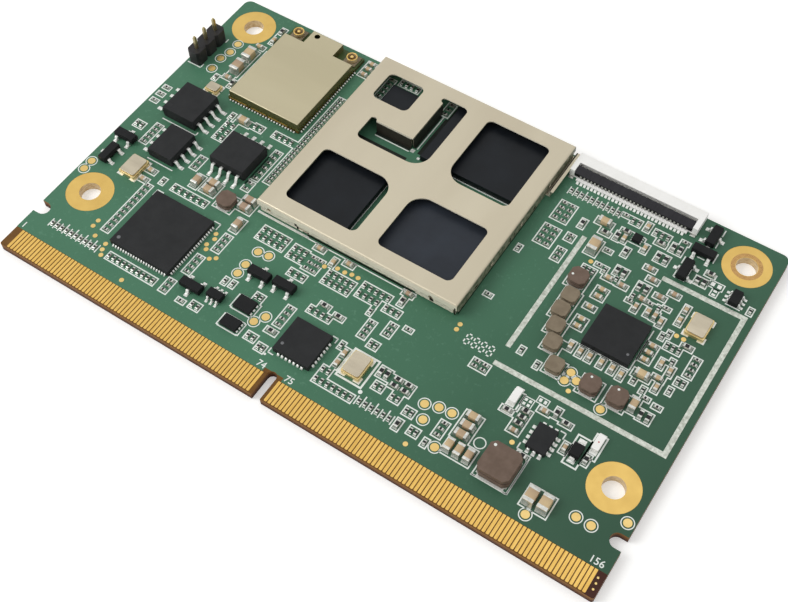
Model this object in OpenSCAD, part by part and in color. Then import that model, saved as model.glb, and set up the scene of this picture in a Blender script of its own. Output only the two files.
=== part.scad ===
// System on module: a card-edge computer board with a clip-on shield, a radio module and a flex connector.
// Board places are [x, y] from the corner at contact 1, x along the contact edge and y away from it.

/* [Board] */
// Length of the contact edge
board_w = 82; // [82:0.5:100]
// Depth from the contact edge to the back edge
board_d = 50; // [50:0.5:80]
// Thickness over the mask
board_t = 1.2; // [1:0.05:1.6]
// Radius of the two back corners
back_corner_r = 1; // [0.5:0.1:1.5]
// Radius of the two front corners
front_corner_r = 0.3; // [0.2:0.1:0.8]
// Width of the key slot
key_w = 1.25; // [1:0.05:1.4]
// Depth of the key slot
key_depth = 3.7; // [3:0.1:4.5]
// Centre of the key slot along the edge
key_x = 39; // [38.9:0.05:39.1]
// Width of the notch in each side
notch_w = 1.8; // [1.2:0.1:2.4]
// Depth of the notch in each side
notch_depth = 1.75; // [1.2:0.05:2]
// Distance of the side notches from the contact edge
notch_y = 6.9; // [6.5:0.1:7.3]

/* [Mounting holes] */
// Radius of the plated bore
hole_r = 1.35; // [1.1:0.05:1.5]
// Wall of the plated barrel
barrel_wall = 0.05; // [0.03:0.01:0.1]
// Radius of the gold ring
ring_r = 3.05; // [2.5:0.05:3.2]
// Distance of the holes from each side edge
hole_inset = 4; // [3.8:0.1:4.5]
// Distance of the front holes from the contact edge
hole_front = 12; // [11.5:0.1:12.5]
// Distance of the back holes from the back edge
hole_back = 4; // [3.8:0.1:4.3]

/* [Edge contacts] */
// Pitch of the contacts
contact_pitch = 0.5; // [0.45:0.01:0.5]
// Width of a contact
contact_w = 0.37; // [0.25:0.01:0.4]
// Length of a contact
contact_len = 2.9; // [2:0.05:3]
// Distance of the contact tips from the edge
contact_tip = 0.12; // [0.05:0.01:0.3]
// Thickness of the plating and depth of its recess
plating_t = 0.04; // [0.03:0.005:0.08]

/* [Shield] */
// Outer width of the cover
shield_w = 28.95; // [28.5:0.05:29]
// Outer depth of the cover
shield_d = 28.6; // [28.2:0.05:28.7]
// Height of the cover over the board
shield_h = 2.1; // [1.8:0.05:3]
// Thickness of the shield sheet
sheet_t = 0.2; // [0.12:0.01:0.25]
// Gap between the cover's walls and the frame
shield_gap = 0.05; // [0.03:0.01:0.08]
// Gap between the cover's walls and the board
skirt_gap = 0.3; // [0.25:0.05:0.5]
// Width of the frame's inward rim
rim_w = 0.8; // [0.4:0.1:1.2]

/* [Packages under the shield] */
// Side of the processor package
processor_side = 15; // [12:0.1:15.2]
// Short side of a memory package
memory_w = 10; // [8:0.1:10.2]
// Long side of a memory package
memory_l = 14.5; // [12:0.1:15]
// Height of the packages under the shield
package_h = 0.95; // [0.7:0.05:1.2]
// Side of the companion chip
companion_side = 5.4; // [4:0.1:5.6]

/* [Radio module] */
// Width of the radio's board
radio_w = 11.4; // [11:0.1:11.9]
// Depth of the radio's board
radio_d = 15.2; // [14.8:0.1:15.4]
// Thickness of the radio's board
radio_board_t = 0.5; // [0.4:0.05:0.8]
// Height of the can over the radio's board
can_h = 1.05; // [1:0.05:1.6]
// Set-back of the can from the edge of the radio's board
can_inset = 0.15; // [0.1:0.05:0.2]
// Sheet of the can
can_t = 0.12; // [0.1:0.01:0.2]
// Width of the corner cut-outs for the receptacles
bay_w = 3.15; // [2.6:0.05:3.4]
// Depth of the corner cut-outs
bay_d = 2.5; // [2.4:0.05:3]
// Outer radius of a receptacle's shell
coax_r = 0.75; // [0.6:0.05:0.85]
// Height of a receptacle
coax_h = 0.6; // [0.45:0.05:0.8]

/* [Pin header] */
// Pitch of the pins
header_pitch = 2; // [1.8:0.05:2.05]
// Height of the insulator
header_h = 2.2; // [1.4:0.1:2.6]
// Side of a square pin
pin_side = 0.4; // [0.35:0.05:0.6]
// Length of a pin over the insulator
pin_rise = 2.1; // [1.5:0.1:4]

/* [Flex connector] */
// Number of contacts
flex_count = 30; // [20:1:30]
// Pitch of the contacts
flex_pitch = 0.5; // [0.45:0.01:0.5]
// Length of the housing
flex_w = 17.7; // [17.3:0.05:17.8]
// Height of the housing
flex_h = 1.2; // [1.15:0.05:1.5]
// Length of the flip lock between the cheeks
lock_w = 16.25; // [15.9:0.05:16.4]
// Radius of the flip lock's trunnions
trunnion_r = 0.18; // [0.12:0.01:0.22]
// Radial clearance of the trunnions and end gap of the lock
lock_gap = 0.04; // [0.02:0.01:0.08]

/* [Large inductor] */
// Side of the core
choke_side = 4; // [3:0.1:4.2]
// Height of the core
choke_h = 1.8; // [1.2:0.1:2.4]

/* [Hidden] */
$fn = 40;

// A negative x counts from the right edge and a negative y from the back edge, so the groups there
// keep their distance from those edges.
function at_x(x) = x < 0 ? board_w + x : x;
function at_y(y) = y < 0 ? board_d + y : y;
function at(p) = [at_x(p[0]), at_y(p[1])];

land_t = 0.03;
finger_zone = contact_tip + contact_len + 0.05;
barrel_r = hole_r + barrel_wall;
mask_gap = 0.02;
hole_places = [
    for (x = [hole_inset, board_w - hole_inset], y = [hole_front, board_d - hole_back]) [x, y]
];

// Top contacts sit half a pitch inside the bottom ones on both sides of the key.
top_left_count = 74;
top_right_count = 82;
top_key_gap = 1.25;
bottom_key_gap = 1;
contacts_top_x = contact_row(top_left_count, top_right_count, top_key_gap);
contacts_bottom_x = contact_row(top_left_count + 1, top_right_count + 1, bottom_key_gap);
function contact_row(left, right, gap) = concat(
    [for (i = [0:left - 1]) key_x - gap - i * contact_pitch],
    [for (i = [0:right - 1]) key_x + gap + i * contact_pitch]);

// Round test pads as [x, y], large ones in a printed ring and small bare dots.
test_pad_r = 0.5;
test_dot_r = 0.3;
test_pad_places = [[27.35, 16], [28.8, 16.2], [27.2, 13.7], [27.15, 12.2], [33.7, 9.05], [32.9, 7.8],
    [0.9, 15.85], [0.9, 14.4], [55.5, 9.5], [-24.9, 10], [-23.3, 10.15], [-25.6, 7.75], [-22.7, 5.6],
    [-10.45, 4.2], [-5.8, 6.85], [-4, 6.85], [-0.9, 9.2], [-9.7, 19.5], [4.1, -7.75], [4.1, -9.5],
    [3.7, -11.1], [3.85, -13.2], [-14.7, -28.15], [-14.85, 20.55], [-13.65, -28.8]];
test_dot_places = [[7.9, 9.1], [7.9, 8.15], [9.1, 7.15], [11, 6.9], [11.2, 6.05], [11.6, 5.35],
    [16.1, 3.9], [21.4, 15.35], [21.75, 14.65], [21.4, 13.5], [21.8, 12.9], [23.65, 12.5], [23, 12],
    [-15.9, 10.7], [-25.6, 4.2], [36.85, 19.2], [37.9, 19.2], [38.8, 19.4], [39.7, 19.4], [35.35, 18.6],
    [53.35, 20.5], [53.35, 19.7], [-20.1, -13.45], [-6.8, -17.3], [-5.9, -17.3], [-13.8, 19.6]];

// Tinned strips along the sides of a box given as [left, front, right, back].
strip_w = 0.65;
strip_box = [-22.8, 18, -0.85, -10.6];
strip_corner_gap = 2.9;
strip_back_start = 11;

// Shield cover, placed by its front left corner, with its windows measured from that corner.
shield_at = [23.45, board_d - 0.2 - shield_d];
window_front_left = [2.45, 2.3, 10.55, 9.05];
window_front_right = [16, 2.4, 10.55, 9.05];
window_back_right = [17.45, 15.4, 9.1, 11.05];
window_small = [2.35, 21.6, 5.4, 4.85];
elbow_at = [4.45, 14.9];
elbow_leg = 3.5;
elbow_w = 10;
elbow_d = 11.55;
window_r = 0.85;
window_wide_r = 2.3;
relief_r = 0.45;
flange_reach = 1.6;
frame_inset = sheet_t + shield_gap;
front_port = [7.6, 15.6];
port_h = 0.55;
port_slit = 0.25;
port_slit_len = 1.5;
corner_relief = 0.5;
channel_len = 7.2;
channel_h = 1.1;
channel_gap = 0.25;
snap_r = 0.3;
front_snaps = [1.8, shield_w - 3.6];
right_snaps = [8, 15, 22];

// Packages under the shield by their centres, measured from the shield's front left corner.
processor_at = [20.3, 8.55];
memory_front_at = [6.4, 7.95];
memory_rear_at = [19.9, 22.35];
companion_at = [5.9, 23];

// Radio module by the front left corner of its board.
radio_at = [9.1, board_d - 1.05 - radio_d];
radio_top = board_t + radio_board_t;
castellation_pitch = 0.45;
castellation_r = 0.14;
coax_base = 1.9;
coax_base_h = 0.22;
coax_wall = 0.15;
coax_pin_share = 0.3;
coax_from_back = 1.15;
coax_places = [[1.4, radio_d - coax_from_back], [radio_w - 1.2, radio_d - coax_from_back]];
can_vent_r = 0.4;
can_vent_at = [bay_w + 1.15, radio_d - 0.85];
castellation_end = 2;

// Pin header by the middle of its row.
header_at = [1.35, -10.8];
header_count = 3;
header_side = 2;
header_chamfer = 0.35;
pin_tip = 0.35;
pin_hole_r = 0.45;
pin_tip_share = 0.4;

// Flex connector, x from its middle and y from its tail side, with the lock's axis.
flex_at = [-19.95, -3.15];
flex_d = 3.1;
flex_floor = 0.15;
flex_slot_h = 0.32;
flex_roof_y = 1.75;
lock_axis = [0.95, 0.55];
lock_back = 0.95;
lock_nose_r = 0.25;
lock_foot = 0.3;
lock_top = flex_h;
lock_tooth_d = 0.65;
lock_tooth_h = 0.35;
lock_tooth_gap = 0.06;
lock_crest = 0.15;
lock_slope = [0.45, 0.4];
lock_root = 0.1;
flex_contact_w = 0.18;
flex_arm_end = 0.6;
prong_y = 0.5;
prong_w = 0.12;
prong_h = 0.4;
hold_down = [0.7, 0.45];
hold_down_inset = 0.05;
tail_len = 0.7;
tail_t = 0.12;
cheek_w = (flex_w - lock_w) / 2 - lock_gap;
trunnion_len = cheek_w * 0.6;

// Flat no-lead packages as [x, y, side, leads per side, pitch].
flat_chip_h = 0.85;
hub = [16, 11.8, 9, 21, 0.4];
bridge = [39.65, 8.3, 5, 7, 0.55];
power_manager_at = [-12.6, -21.25];
power_manager_side = 6;
power_manager_h = 0.9;
converter_at = [-13.25, 12.6];
converter_size = [2.4, 3.3, 0.75];
converter_side_leads = [-1.05, -0.35, 0.35, 1.05];
converter_end_leads = [-0.75, 0, 0.75];
converter_lead_w = 0.35;

// Gull-wing packages as [x, y, turned degrees].
wide_places = [[6.4, -20.6, 0], [16.75, -23.85, 90]];
narrow_place = [8.4, -27, 0];
wide_body = [5.2, 5.2, 1.8];
wide_span = 7.9;
narrow_body = [3.9, 4.9, 1.5];
narrow_span = 6;
leg_pitch = 1.27;
leg_w = 0.42;
fine_leg_w = 0.25;
transistor_body = [2.9, 1.3, 1];
transistor_span = 2.4;
transistor_pitch = 0.95;
transistor_places = [[2.2, -28.8, 0], [2.2, 17.9, 90], [23.9, 7.6, 180], [29.7, 13.3, 0],
    [33.15, 13.6, 0], [-9.15, -2.45, 270], [-9.2, -5.2, 0], [-10, -8.7, 90]];
six_lead_body = [2, 1.25, 0.9];
six_lead_span = 2.1;
six_lead_pitch = 0.65;
six_lead_places = [[27.1, 8.1, 0], [-3.2, -9.2, 90]];
no_lead_places = [[30.8, 9, 2.4, 1.8], [30.9, 6.1, 2.3, 1.5], [-16.9, -7.6, 1.1, 1.1]];
no_lead_h = 0.6;
no_lead_pitch_share = 0.33;
no_lead_land_share = 0.2;
diode_place = [-9.4, 13.4, 90];
diode_body_size = [1.8, 1.25, 0.9];
diode_span = 2.7;
diode_leg_w = 0.6;
lamp_places = [[-18.4, 15.8], [-7.85, 15.6]];
lamp_size = [0.9, 2, 0.55];
lamp_corner = 0.12;

// Crystals as [x, y, width, depth, height].
crystal_places = [[46.5, 9.3, 2.5, 3.2, 0.8], [6.3, 17.9, 2.5, 3.2, 0.8], [-5.1, -15, 2.5, 3.2, 0.8],
    [6.4, -16, 2, 1.6, 0.6]];
crystal_rim = 0.15;
crystal_lid_h = 0.25;
crystal_base_corner = 0.2;
crystal_lid_corner = 0.3;

// Wound parts.
choke_at = [-15.5, 7.3];
choke_chamfer = 0.55;
coil_side = 2.3;
coil_chamfer = 0.5;
coil_places = [[-20.1, -16.7, 1.2], [-12, -28.7, 1.2], [-8.7, -28.5, 1.2], [19.6, 19.9, 1]];
chip_coil_side = 2;
chip_coil_chamfer = 0.35;
chip_coil_h = 1;
chip_coil_places = [[-19.7, -19.4, 0], [-19.7, -21.7, 0], [-19.1, -23.9, 0], [-18.3, -26.1, 0],
    [-16.6, -28.6, 90]];
coil_foot = 0.12;
flange_share = 0.38;
waist_inset = 0.22;
terminal_offset = 0.33;
terminal_w = 0.3;
terminal_d = 0.9;

// Chip parts as [length, width, height, end cap, solder toe].
size_large = [2, 1.25, 1.1, 0.45, 0.2];
size_mid = [1.6, 0.85, 0.8, 0.35, 0.2];
size_small = [1, 0.5, 0.45, 0.25, 0.13];
size_tiny = [0.6, 0.34, 0.28, 0.17, 0.11];
large_places = [[-10.9, 6.2, 90], [-9.2, 6.2, 90], [-20.8, -11.4, 90], [6.9, -8.75, 90],
    [6.9, -11.35, 90]];
mid_places = [[-21, 10.9, 0], [-21, 9.6, 0], [-21, 8.35, 0], [-21.45, 6.6, 90], [-20.2, 6.6, 90],
    [-18.95, 6.6, 90], [14.4, 20.5, 90], [16.5, -28.8, 0], [16.5, 20.05, 0], [22, -28.5, 0],
    [22, 20.3, 0], [22.9, 17.8, 90], [-21.4, -7.5, 0], [-6.8, -28.1, 90], [-7.8, -24.2, 0],
    [13.3, -18.5, 0]];
small_places = [[33.4, 20.4, 0], [35.95, 19.6, 90], [37.7, 20.4, 0], [46, -29.3, 0], [-17, -16.4, 0],
    [-17, -17.5, 0], [-17.1, -19.3, 0], [-17.1, -21.3, 0], [-17.1, -22.4, 0], [-16.4, -25.1, 90],
    [-15.1, -25.2, 90], [-13.9, -25.2, 90], [-12.4, -25.2, 90], [-11, -25.2, 90], [-9.8, -25.4, 90],
    [-8.5, -20.1, 0], [-8.5, -21.15, 0], [-8.5, -22.2, 0], [-6.6, -21.6, 90], [-5.3, -22, 90],
    [-5.7, -24.7, 90], [-10.7, 13.2, 90], [-16.5, 12, 0], [44.3, 10, 90], [44.3, 8.5, 90],
    [8.35, 18.7, 0], [8.35, 17.1, 0], [21.8, -1.1, 0], [21.8, -2.1, 0], [21.8, -3.2, 0],
    [-7.4, -13.6, 90], [-7.4, -15.3, 90], [-17.2, -14.5, 0], [-15.4, -14.6, 0], [-12.6, -11.9, 0],
    [-13.6, -10.6, 0], [-15.5, -8.3, 90], [-18.3, -8.3, 90], [-12.6, -16.4, 90], [-11, -16.2, 90],
    [-10.1, -16.3, 90], [-9.2, -16.7, 90], [-9.5, -12.4, 0], [-10.8, -13.6, 0], [-16.6, -5.2, 90],
    [-12.48, -15.03, 0], [-6.05, -23.55, 0], [6.95, -6.6, 0], [7.9, -4.6, 90], [6.7, -13.4, 0],
    [-14.8, 15.9, 0]];
resistor_places = [[35.4, 7.8, 0], [38.65, 14, 0], [40.9, 13.6, 0], [49.2, 10.3, 90], [50, 10.3, 90],
    [51.4, 10.4, 0], [52.8, 10.4, 0], [51.4, 9.5, 0], [52.8, 9.5, 0], [54.35, 5.7, 90], [-14.1, 9.8, 0],
    [-18.4, 13.8, 0], [-16.5, 14.7, 0], [-16.5, 13.85, 0], [-16.5, 13, 0], [-8.05, 13.2, 90],
    [-12, 15.8, 0], [-13.45, 16.45, 90], [-5.6, -28.7, 90], [-4.7, -28.7, 90], [-23.65, -9.05, 90],
    [-20.7, -8.8, 0], [-19.15, -8.4, 90], [-12.6, -6.3, 90], [-11.75, -6.3, 90], [-13.55, -8.5, 90],
    [-12.6, -8.5, 90], [-14.2, -6.6, 0], [-16.75, -12.9, 90], [-15.9, -12.9, 90], [-13.5, -13.6, 90],
    [-12.6, -13.6, 90], [46, 19.5, 90], [-5.1, -18.1, 0], [-17.2, -10, 90], [-18.53, -7.25, 0],
    [7.9, -2.7, 90], [7.95, -14, 90]];

// Rows of tiny resistors as [first x, first y, columns, rows, pitch x, pitch y, turned degrees].
tiny_rows = [[9.6, 8.6, 1, 11, 0, 0.8, 0], [12.6, 5.8, 10, 1, 0.75, 0, 90],
    [3.5, 5.8, 10, 1, 0.75, 0, 90], [21.9, -24.7, 1, 28, 0, 0.6, 0], [20.2, -25.1, 1, 6, 0, 0.95, 0],
    [20.2, -27.1, 1, 2, 0, 0.95, 0], [18.1, -18, 4, 1, 0.85, 0, 90], [11.4, -18.5, 1, 1, 0, 0, 90],
    [15.1, -18.3, 2, 1, 0.9, 0, 90], [11.7, -22.2, 2, 3, 0.9, 1.15, 90], [12.6, -27.9, 1, 3, 0, 0.85, 0],
    [4.4, -28, 1, 5, 0, 0.75, 0], [1.7, -26.1, 2, 1, 0.75, 0, 90], [1, -21.8, 1, 3, 0, 1.3, 0],
    [12.6, 18.2, 6, 1, 0.95, 0, 90], [10.7, 18.2, 1, 1, 0, 0, 90], [22.9, 13.5, 1, 4, 0, 0.75, 0],
    [21.9, 9.1, 1, 4, 0, 0.8, 0], [21.2, 5.5, 1, 3, 0, 0.75, 0], [23.9, 5.4, 1, 1, 0, 0, 0],
    [25.4, 5.75, 2, 1, 0.8, 0, 90], [26.6, 10.5, 1, 1, 0, 0, 90], [27.65, 10.6, 1, 1, 0, 0, 90],
    [31.1, 10.8, 2, 1, 0.65, 0, 90], [33.5, 5.95, 2, 1, 0.75, 0, 90], [35.4, 5.4, 2, 1, 0.6, 0, 90],
    [35.5, 9, 1, 4, 0, 0.85, 0], [32.4, 15.8, 3, 1, 0.9, 0, 90], [37.5, 12.8, 4, 1, 0.85, 0, 90],
    [43.4, 10.7, 1, 1, 0, 0, 90], [43.4, 5.6, 7, 1, 0.78, 0, 90], [43.4, 7, 2, 1, 0.75, 0, 90],
    [49.2, 5.8, 6, 1, 0.8, 0, 90], [44.6, 13, 1, 4, 0, 0.7, 0], [46.1, 12.7, 2, 1, 0.65, 0, 90],
    [46.9, 14.7, 1, 3, 0, 0.7, 0], [43.6, 16.3, 1, 1, 0, 0, 90], [49.6, 8.5, 2, 1, 0.7, 0, 90],
    [52, 8.3, 2, 1, 0.7, 0, 90], [54.3, 7.65, 2, 1, 0.65, 0, 90], [-26, 5.9, 2, 1, 0.65, 0, 90],
    [-23.9, 5.45, 1, 1, 0, 0, 90], [-23.3, 7, 1, 3, 0, 0.8, 0], [26, 18.05, 5, 2, 0.85, 1.1, 90],
    [30.8, 17.8, 3, 2, 0.8, 1.1, 90], [33.6, 17.2, 2, 3, 0.95, 0.85, 0],
    [36.5, 17.05, 5, 2, 0.8, 1.1, 90], [41, 18.9, 5, 1, 0.85, 0, 90], [41, 17.7, 4, 1, 0.85, 0, 90],
    [44.9, 17.7, 3, 1, 0.8, 0, 90], [48.7, 16.6, 1, 1, 0, 0, 0], [-24.4, 16.65, 2, 2, 1.1, 0.7, 0],
    [53.55, -16.4, 1, 1, 0, 0, 90], [53.95, -24.2, 1, 1, 0, 0, 0], [-20.9, -28.65, 1, 1, 0, 0, 90],
    [-18.45, -29.4, 1, 1, 0, 0, 90], [55, -10, 2, 4, 1.1, 0.85, 0], [55, -14.2, 2, 4, 1.1, 0.85, 0],
    [-23.95, -12.05, 1, 2, 0, 0.65, 0], [-23.95, -15.4, 1, 3, 0, 0.75, 0],
    [54.8, -5.3, 10, 1, 0.72, 0, 90], [-18.6, -5.3, 2, 1, 0.8, 0, 90], [-15.4, -5.4, 3, 1, 0.8, 0, 90],
    [-7.1, -19.1, 3, 1, 0.7, 0, 90], [-3.4, -21.4, 1, 4, 0, 0.8, 0],
    [-4, -22.7, 2, 1, 0.65, 0, 90], [-4.25, -24.3, 1, 1, 0, 0, 90], [-6.1, -26.6, 1, 1, 0, 0, 0],
    [-4.5, -26.9, 1, 1, 0, 0, 0], [-1, -9.7, 1, 1, 0, 0, 90], [25.6, -5.2, 1, 5, 0, 0.8, 0],
    [27, -1.6, 4, 1, 0.8, 0, 90], [34.7, -3.2, 1, 3, 0, 0.85, 0],
    [-20.37, -14.75, 3, 1, 0.62, 0, 90], [-19, -13.4, 1, 1, 0, 0, 0], [-18.08, -13.67, 1, 1, 0, 0, 90],
    [-16.3, -14.06, 1, 1, 0, 0, 90], [-13.55, -15.15, 1, 1, 0, 0, 90], [-13.56, -15.96, 1, 1, 0, 0, 0],
    [-11.36, -15.08, 1, 1, 0, 0, 0], [-10.22, -15.14, 1, 1, 0, 0, 90], [-9.45, -14.64, 1, 1, 0, 0, 0],
    [-8.16, -18.28, 1, 1, 0, 0, 90], [-7.61, -17.6, 1, 1, 0, 0, 90], [-8.26, -25.25, 1, 1, 0, 0, 90],
    [-6.82, -25.81, 1, 1, 0, 0, 90], [-5.65, -20.83, 1, 1, 0, 0, 90], [-19.67, -5.06, 1, 1, 0, 0, 0],
    [-11.71, -4.89, 1, 1, 0, 0, 0], [-19.08, -10.99, 1, 1, 0, 0, 0], [5.3, -14.2, 1, 1, 0, 0, 90]];
tiny_places = [
    for (r = tiny_rows, i = [0:r[2] - 1], j = [0:r[3] - 1]) [r[0] + i * r[4], r[1] + j * r[5], r[6]]
];

gold = "#E0B868";
tin = "#D8D8CE";
mould = "#2C2B2D";
sheet = "#CFC6AF";
ceramic = "#B8926A";

// The board's corner goes to the frame's corner, so that the middle of the underside is the origin.
module in_frame() {
    translate([-board_w / 2, -board_d / 2, 0]) children();
}

module on_board(places) {
    in_frame() for (p = places) translate([at(p)[0], at(p)[1], board_t]) children();
}

module turned_on_board(places) {
    in_frame() for (p = places) translate([at(p)[0], at(p)[1], board_t]) rotate(p[2]) children();
}

module on_shield() {
    in_frame() translate([shield_at[0], shield_at[1], board_t]) children();
}

module on_radio(z) {
    in_frame() translate([radio_at[0], radio_at[1], z]) children();
}

module on_flex() {
    in_frame() translate([at(flex_at)[0], at(flex_at)[1], board_t]) children();
}

// A rectangle whose corners have their own radii, from front left and anticlockwise.
module cornered(w, d, r) {
    corner = [[0, 0], [1, 0], [1, 1], [0, 1]];
    difference() {
        square([w, d]);
        for (i = [0:3]) translate([corner[i][0] * w, corner[i][1] * d]) square(2 * r[i], center = true);
    }
    for (i = [0:3]) {
        x = corner[i][0] == 1 ? w - r[i] : r[i];
        y = corner[i][1] == 1 ? d - r[i] : r[i];
        translate([x, y]) circle(r[i]);
    }
}

// A square with its corners cut off, about the origin.
module chamfered(side, cut) {
    h = side / 2;
    polygon([[-h + cut, -h], [h - cut, -h], [h, -h + cut], [h, h - cut], [h - cut, h], [-h + cut, h],
        [-h, h - cut], [-h, -h + cut]]);
}

module slot_end(width, depth) {
    translate([-width / 2, -width]) square([width, width + depth - width / 2]);
    translate([0, depth - width / 2]) circle(width / 2);
}

// Profiles in x and z are drawn flat and stood up across the y axis.
module across(width) {
    translate([0, width / 2, 0]) rotate([90, 0, 0]) linear_extrude(width) children();
}

// Profiles in y and z are drawn flat and stood up along the x axis.
module along(length) {
    translate([-length / 2, 0, 0]) rotate([90, 0, 90]) linear_extrude(length) children();
}

module block(w, d, h) {
    translate([-w / 2, -d / 2, 0]) cube([w, d, h]);
}

module chip_core(s) {
    block(s[0] - 2 * s[3], s[1], s[2]);
}

module chip_ends(s) {
    toe_rise = 0.7;
    half = s[0] / 2;
    for (side = [0, 1]) mirror([side, 0, 0]) across(s[1])
        polygon([[half - s[3], 0], [half + s[4], 0], [half, toe_rise * s[2]], [half, s[2]],
            [half - s[3], s[2]]]);
}

// A moulded body with drafted long sides, standing a little off the board.
module moulded_body(s) {
    stand = 0.1;
    draft = 0.12;
    middle = s[2] * 0.5;
    across(s[1]) polygon([[-s[0] / 2, middle], [-s[0] / 2 + draft, stand], [s[0] / 2 - draft, stand],
        [s[0] / 2, middle], [s[0] / 2 - draft, s[2]], [-s[0] / 2 + draft, s[2]]]);
}

// One gull-wing leg from a body's side face at x = half to the end of its foot at x = reach.
module gull_leg(half, reach, width, shoulder) {
    t = 0.15;
    foot = (reach - half) * 0.45;
    bend = half + (reach - half) * 0.25;
    across(width) polygon([[half, shoulder - t / 2], [bend, shoulder - t / 2], [reach - foot, 0],
        [reach, 0], [reach, t], [reach - foot + t / 2, t], [bend + t / 2, shoulder + t / 2],
        [half, shoulder + t / 2]]);
}

// Legs on both long sides, with the legs of each side at the given offsets.
module leg_pair(body, span, width, right, left) {
    for (y = right) translate([0, y, 0]) gull_leg(body[0] / 2, span / 2, width, body[2] / 2);
    for (y = left) translate([0, y, 0]) mirror([1, 0, 0])
        gull_leg(body[0] / 2, span / 2, width, body[2] / 2);
}

module circuit_board_outline() {
    difference() {
        cornered(board_w, board_d, [front_corner_r, front_corner_r, back_corner_r, back_corner_r]);
        translate([key_x, 0]) slot_end(key_w, key_depth);
        translate([0, notch_y]) rotate(-90) slot_end(notch_w, notch_depth);
        translate([board_w, notch_y]) rotate(90) slot_end(notch_w, notch_depth);
        for (p = hole_places) translate(p) circle(barrel_r);
        for (i = header_rows()) translate([header_at[0], at_y(header_at[1]) + i]) circle(pin_hole_r);
    }
}

function header_rows() = [for (i = [0:header_count - 1]) (i - (header_count - 1) / 2) * header_pitch];

module circuit_board() {
    color("#4A7A60") in_frame() difference() {
        linear_extrude(board_t) circuit_board_outline();
        for (z = [-1, board_t - plating_t]) translate([-1, -1, z])
            cube([board_w + 2, finger_zone + 1, 1 + plating_t]);
        for (p = hole_places, z = [-1, board_t - plating_t]) translate([p[0], p[1], z])
            cylinder(r = ring_r + mask_gap, h = 1 + plating_t);
    }
}

module contact_strip(places) {
    tip_r = 0.12;
    root_r = 0.05;
    for (x = places) translate([x - contact_w / 2, contact_tip])
        cornered(contact_w, contact_len, [tip_r, tip_r, root_r, root_r]);
}

module edge_contacts_top() {
    color(gold) in_frame() translate([0, 0, board_t - plating_t]) linear_extrude(plating_t)
        contact_strip(contacts_top_x);
}

module edge_contacts_bottom() {
    color(gold) in_frame() linear_extrude(plating_t) contact_strip(contacts_bottom_x);
}

// Each hole is plated through: a ring on both faces and the barrel between them.
module hole_plating() {
    color(gold) in_frame() for (p = hole_places) translate([p[0], p[1], 0]) difference() {
        union() {
            cylinder(r = ring_r, h = plating_t);
            cylinder(r = barrel_r, h = board_t);
            translate([0, 0, board_t - plating_t]) cylinder(r = ring_r, h = plating_t);
        }
        translate([0, 0, -1]) cylinder(r = hole_r, h = board_t + 2);
    }
}

module test_pads() {
    color(gold) {
        on_board(test_pad_places) cylinder(r = test_pad_r, h = land_t);
        on_board(test_dot_places) cylinder(r = test_dot_r, h = land_t);
    }
}

module tinned_strips() {
    left = at_x(strip_box[0]);
    right = at_x(strip_box[2]);
    front = strip_box[1];
    back = at_y(strip_box[3]);
    color(tin) in_frame() translate([0, 0, board_t]) linear_extrude(land_t) {
        translate([left, front + strip_corner_gap]) square([strip_w, back - front - strip_corner_gap]);
        translate([left, front]) square([right - left, strip_w]);
        translate([right - strip_w, front]) square([strip_w, back - front]);
        translate([left + strip_back_start, back - strip_w])
            square([right - left - strip_back_start, strip_w]);
    }
}

module window(w, r) {
    translate([w[0], w[1]]) cornered(w[2], w[3], r);
}

module elbow_cut() {
    leg_x = elbow_w - elbow_leg;
    difference() {
        cornered(elbow_w, elbow_d, [window_r, window_wide_r, window_r, window_r]);
        translate([-1, elbow_leg]) square([leg_x + 1, elbow_d]);
    }
    translate([relief_r, elbow_leg]) circle(relief_r);
    translate([leg_x, elbow_d - relief_r]) circle(relief_r);
}

// The inner edges of the elbow cut are folded down as two flanges that part at their corner.
module elbow_flanges() {
    leg_x = elbow_w - elbow_leg;
    corner_gap = 0.3;
    drop = shield_h - flange_reach;
    translate([2 * relief_r, elbow_leg, drop])
        cube([leg_x - 2 * relief_r - corner_gap, sheet_t, flange_reach]);
    translate([leg_x - sheet_t, elbow_leg + corner_gap, drop])
        cube([sheet_t, elbow_d - elbow_leg - 2 * relief_r - corner_gap, flange_reach]);
}

module shield_cover() {
    wall_h = shield_h - skirt_gap;
    color(sheet) on_shield() {
        translate([0, 0, shield_h - sheet_t]) linear_extrude(sheet_t) difference() {
            square([shield_w, shield_d]);
            window(window_front_left, [window_r, window_r, window_wide_r, window_r]);
            window(window_front_right, [window_r, window_r, window_r, window_wide_r]);
            window(window_back_right, [window_wide_r, window_r, window_r, window_r]);
            window(window_small, [window_r, window_r, window_r, window_r]);
            translate(elbow_at) elbow_cut();
        }
        translate([elbow_at[0], elbow_at[1], 0]) elbow_flanges();
        difference() {
            translate([0, 0, skirt_gap]) cube([shield_w, shield_d, wall_h - sheet_t / 2]);
            translate([sheet_t, sheet_t, -1])
                cube([shield_w - 2 * sheet_t, shield_d - 2 * sheet_t, shield_h + 2]);
            translate([front_port[0], -1, -1]) cube([front_port[1], 2, 1 + port_h]);
            translate([front_port[0] - port_slit_len, -1, port_h])
                cube([port_slit_len + sheet_t, 2, port_slit]);
            for (x = [-1, shield_w - corner_relief], y = [-1, shield_d - corner_relief])
                translate([x, y, -1]) cube([1 + corner_relief, 1 + corner_relief, 1 + shield_h / 2]);
            for (x = front_snaps) translate([x, 1, shield_h / 2]) rotate([90, 0, 0])
                cylinder(r = snap_r, h = 2);
            for (y = right_snaps) translate([shield_w - 1, y, shield_h / 2]) rotate([0, 90, 0])
                cylinder(r = snap_r, h = 2);
        }
    }
}

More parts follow.
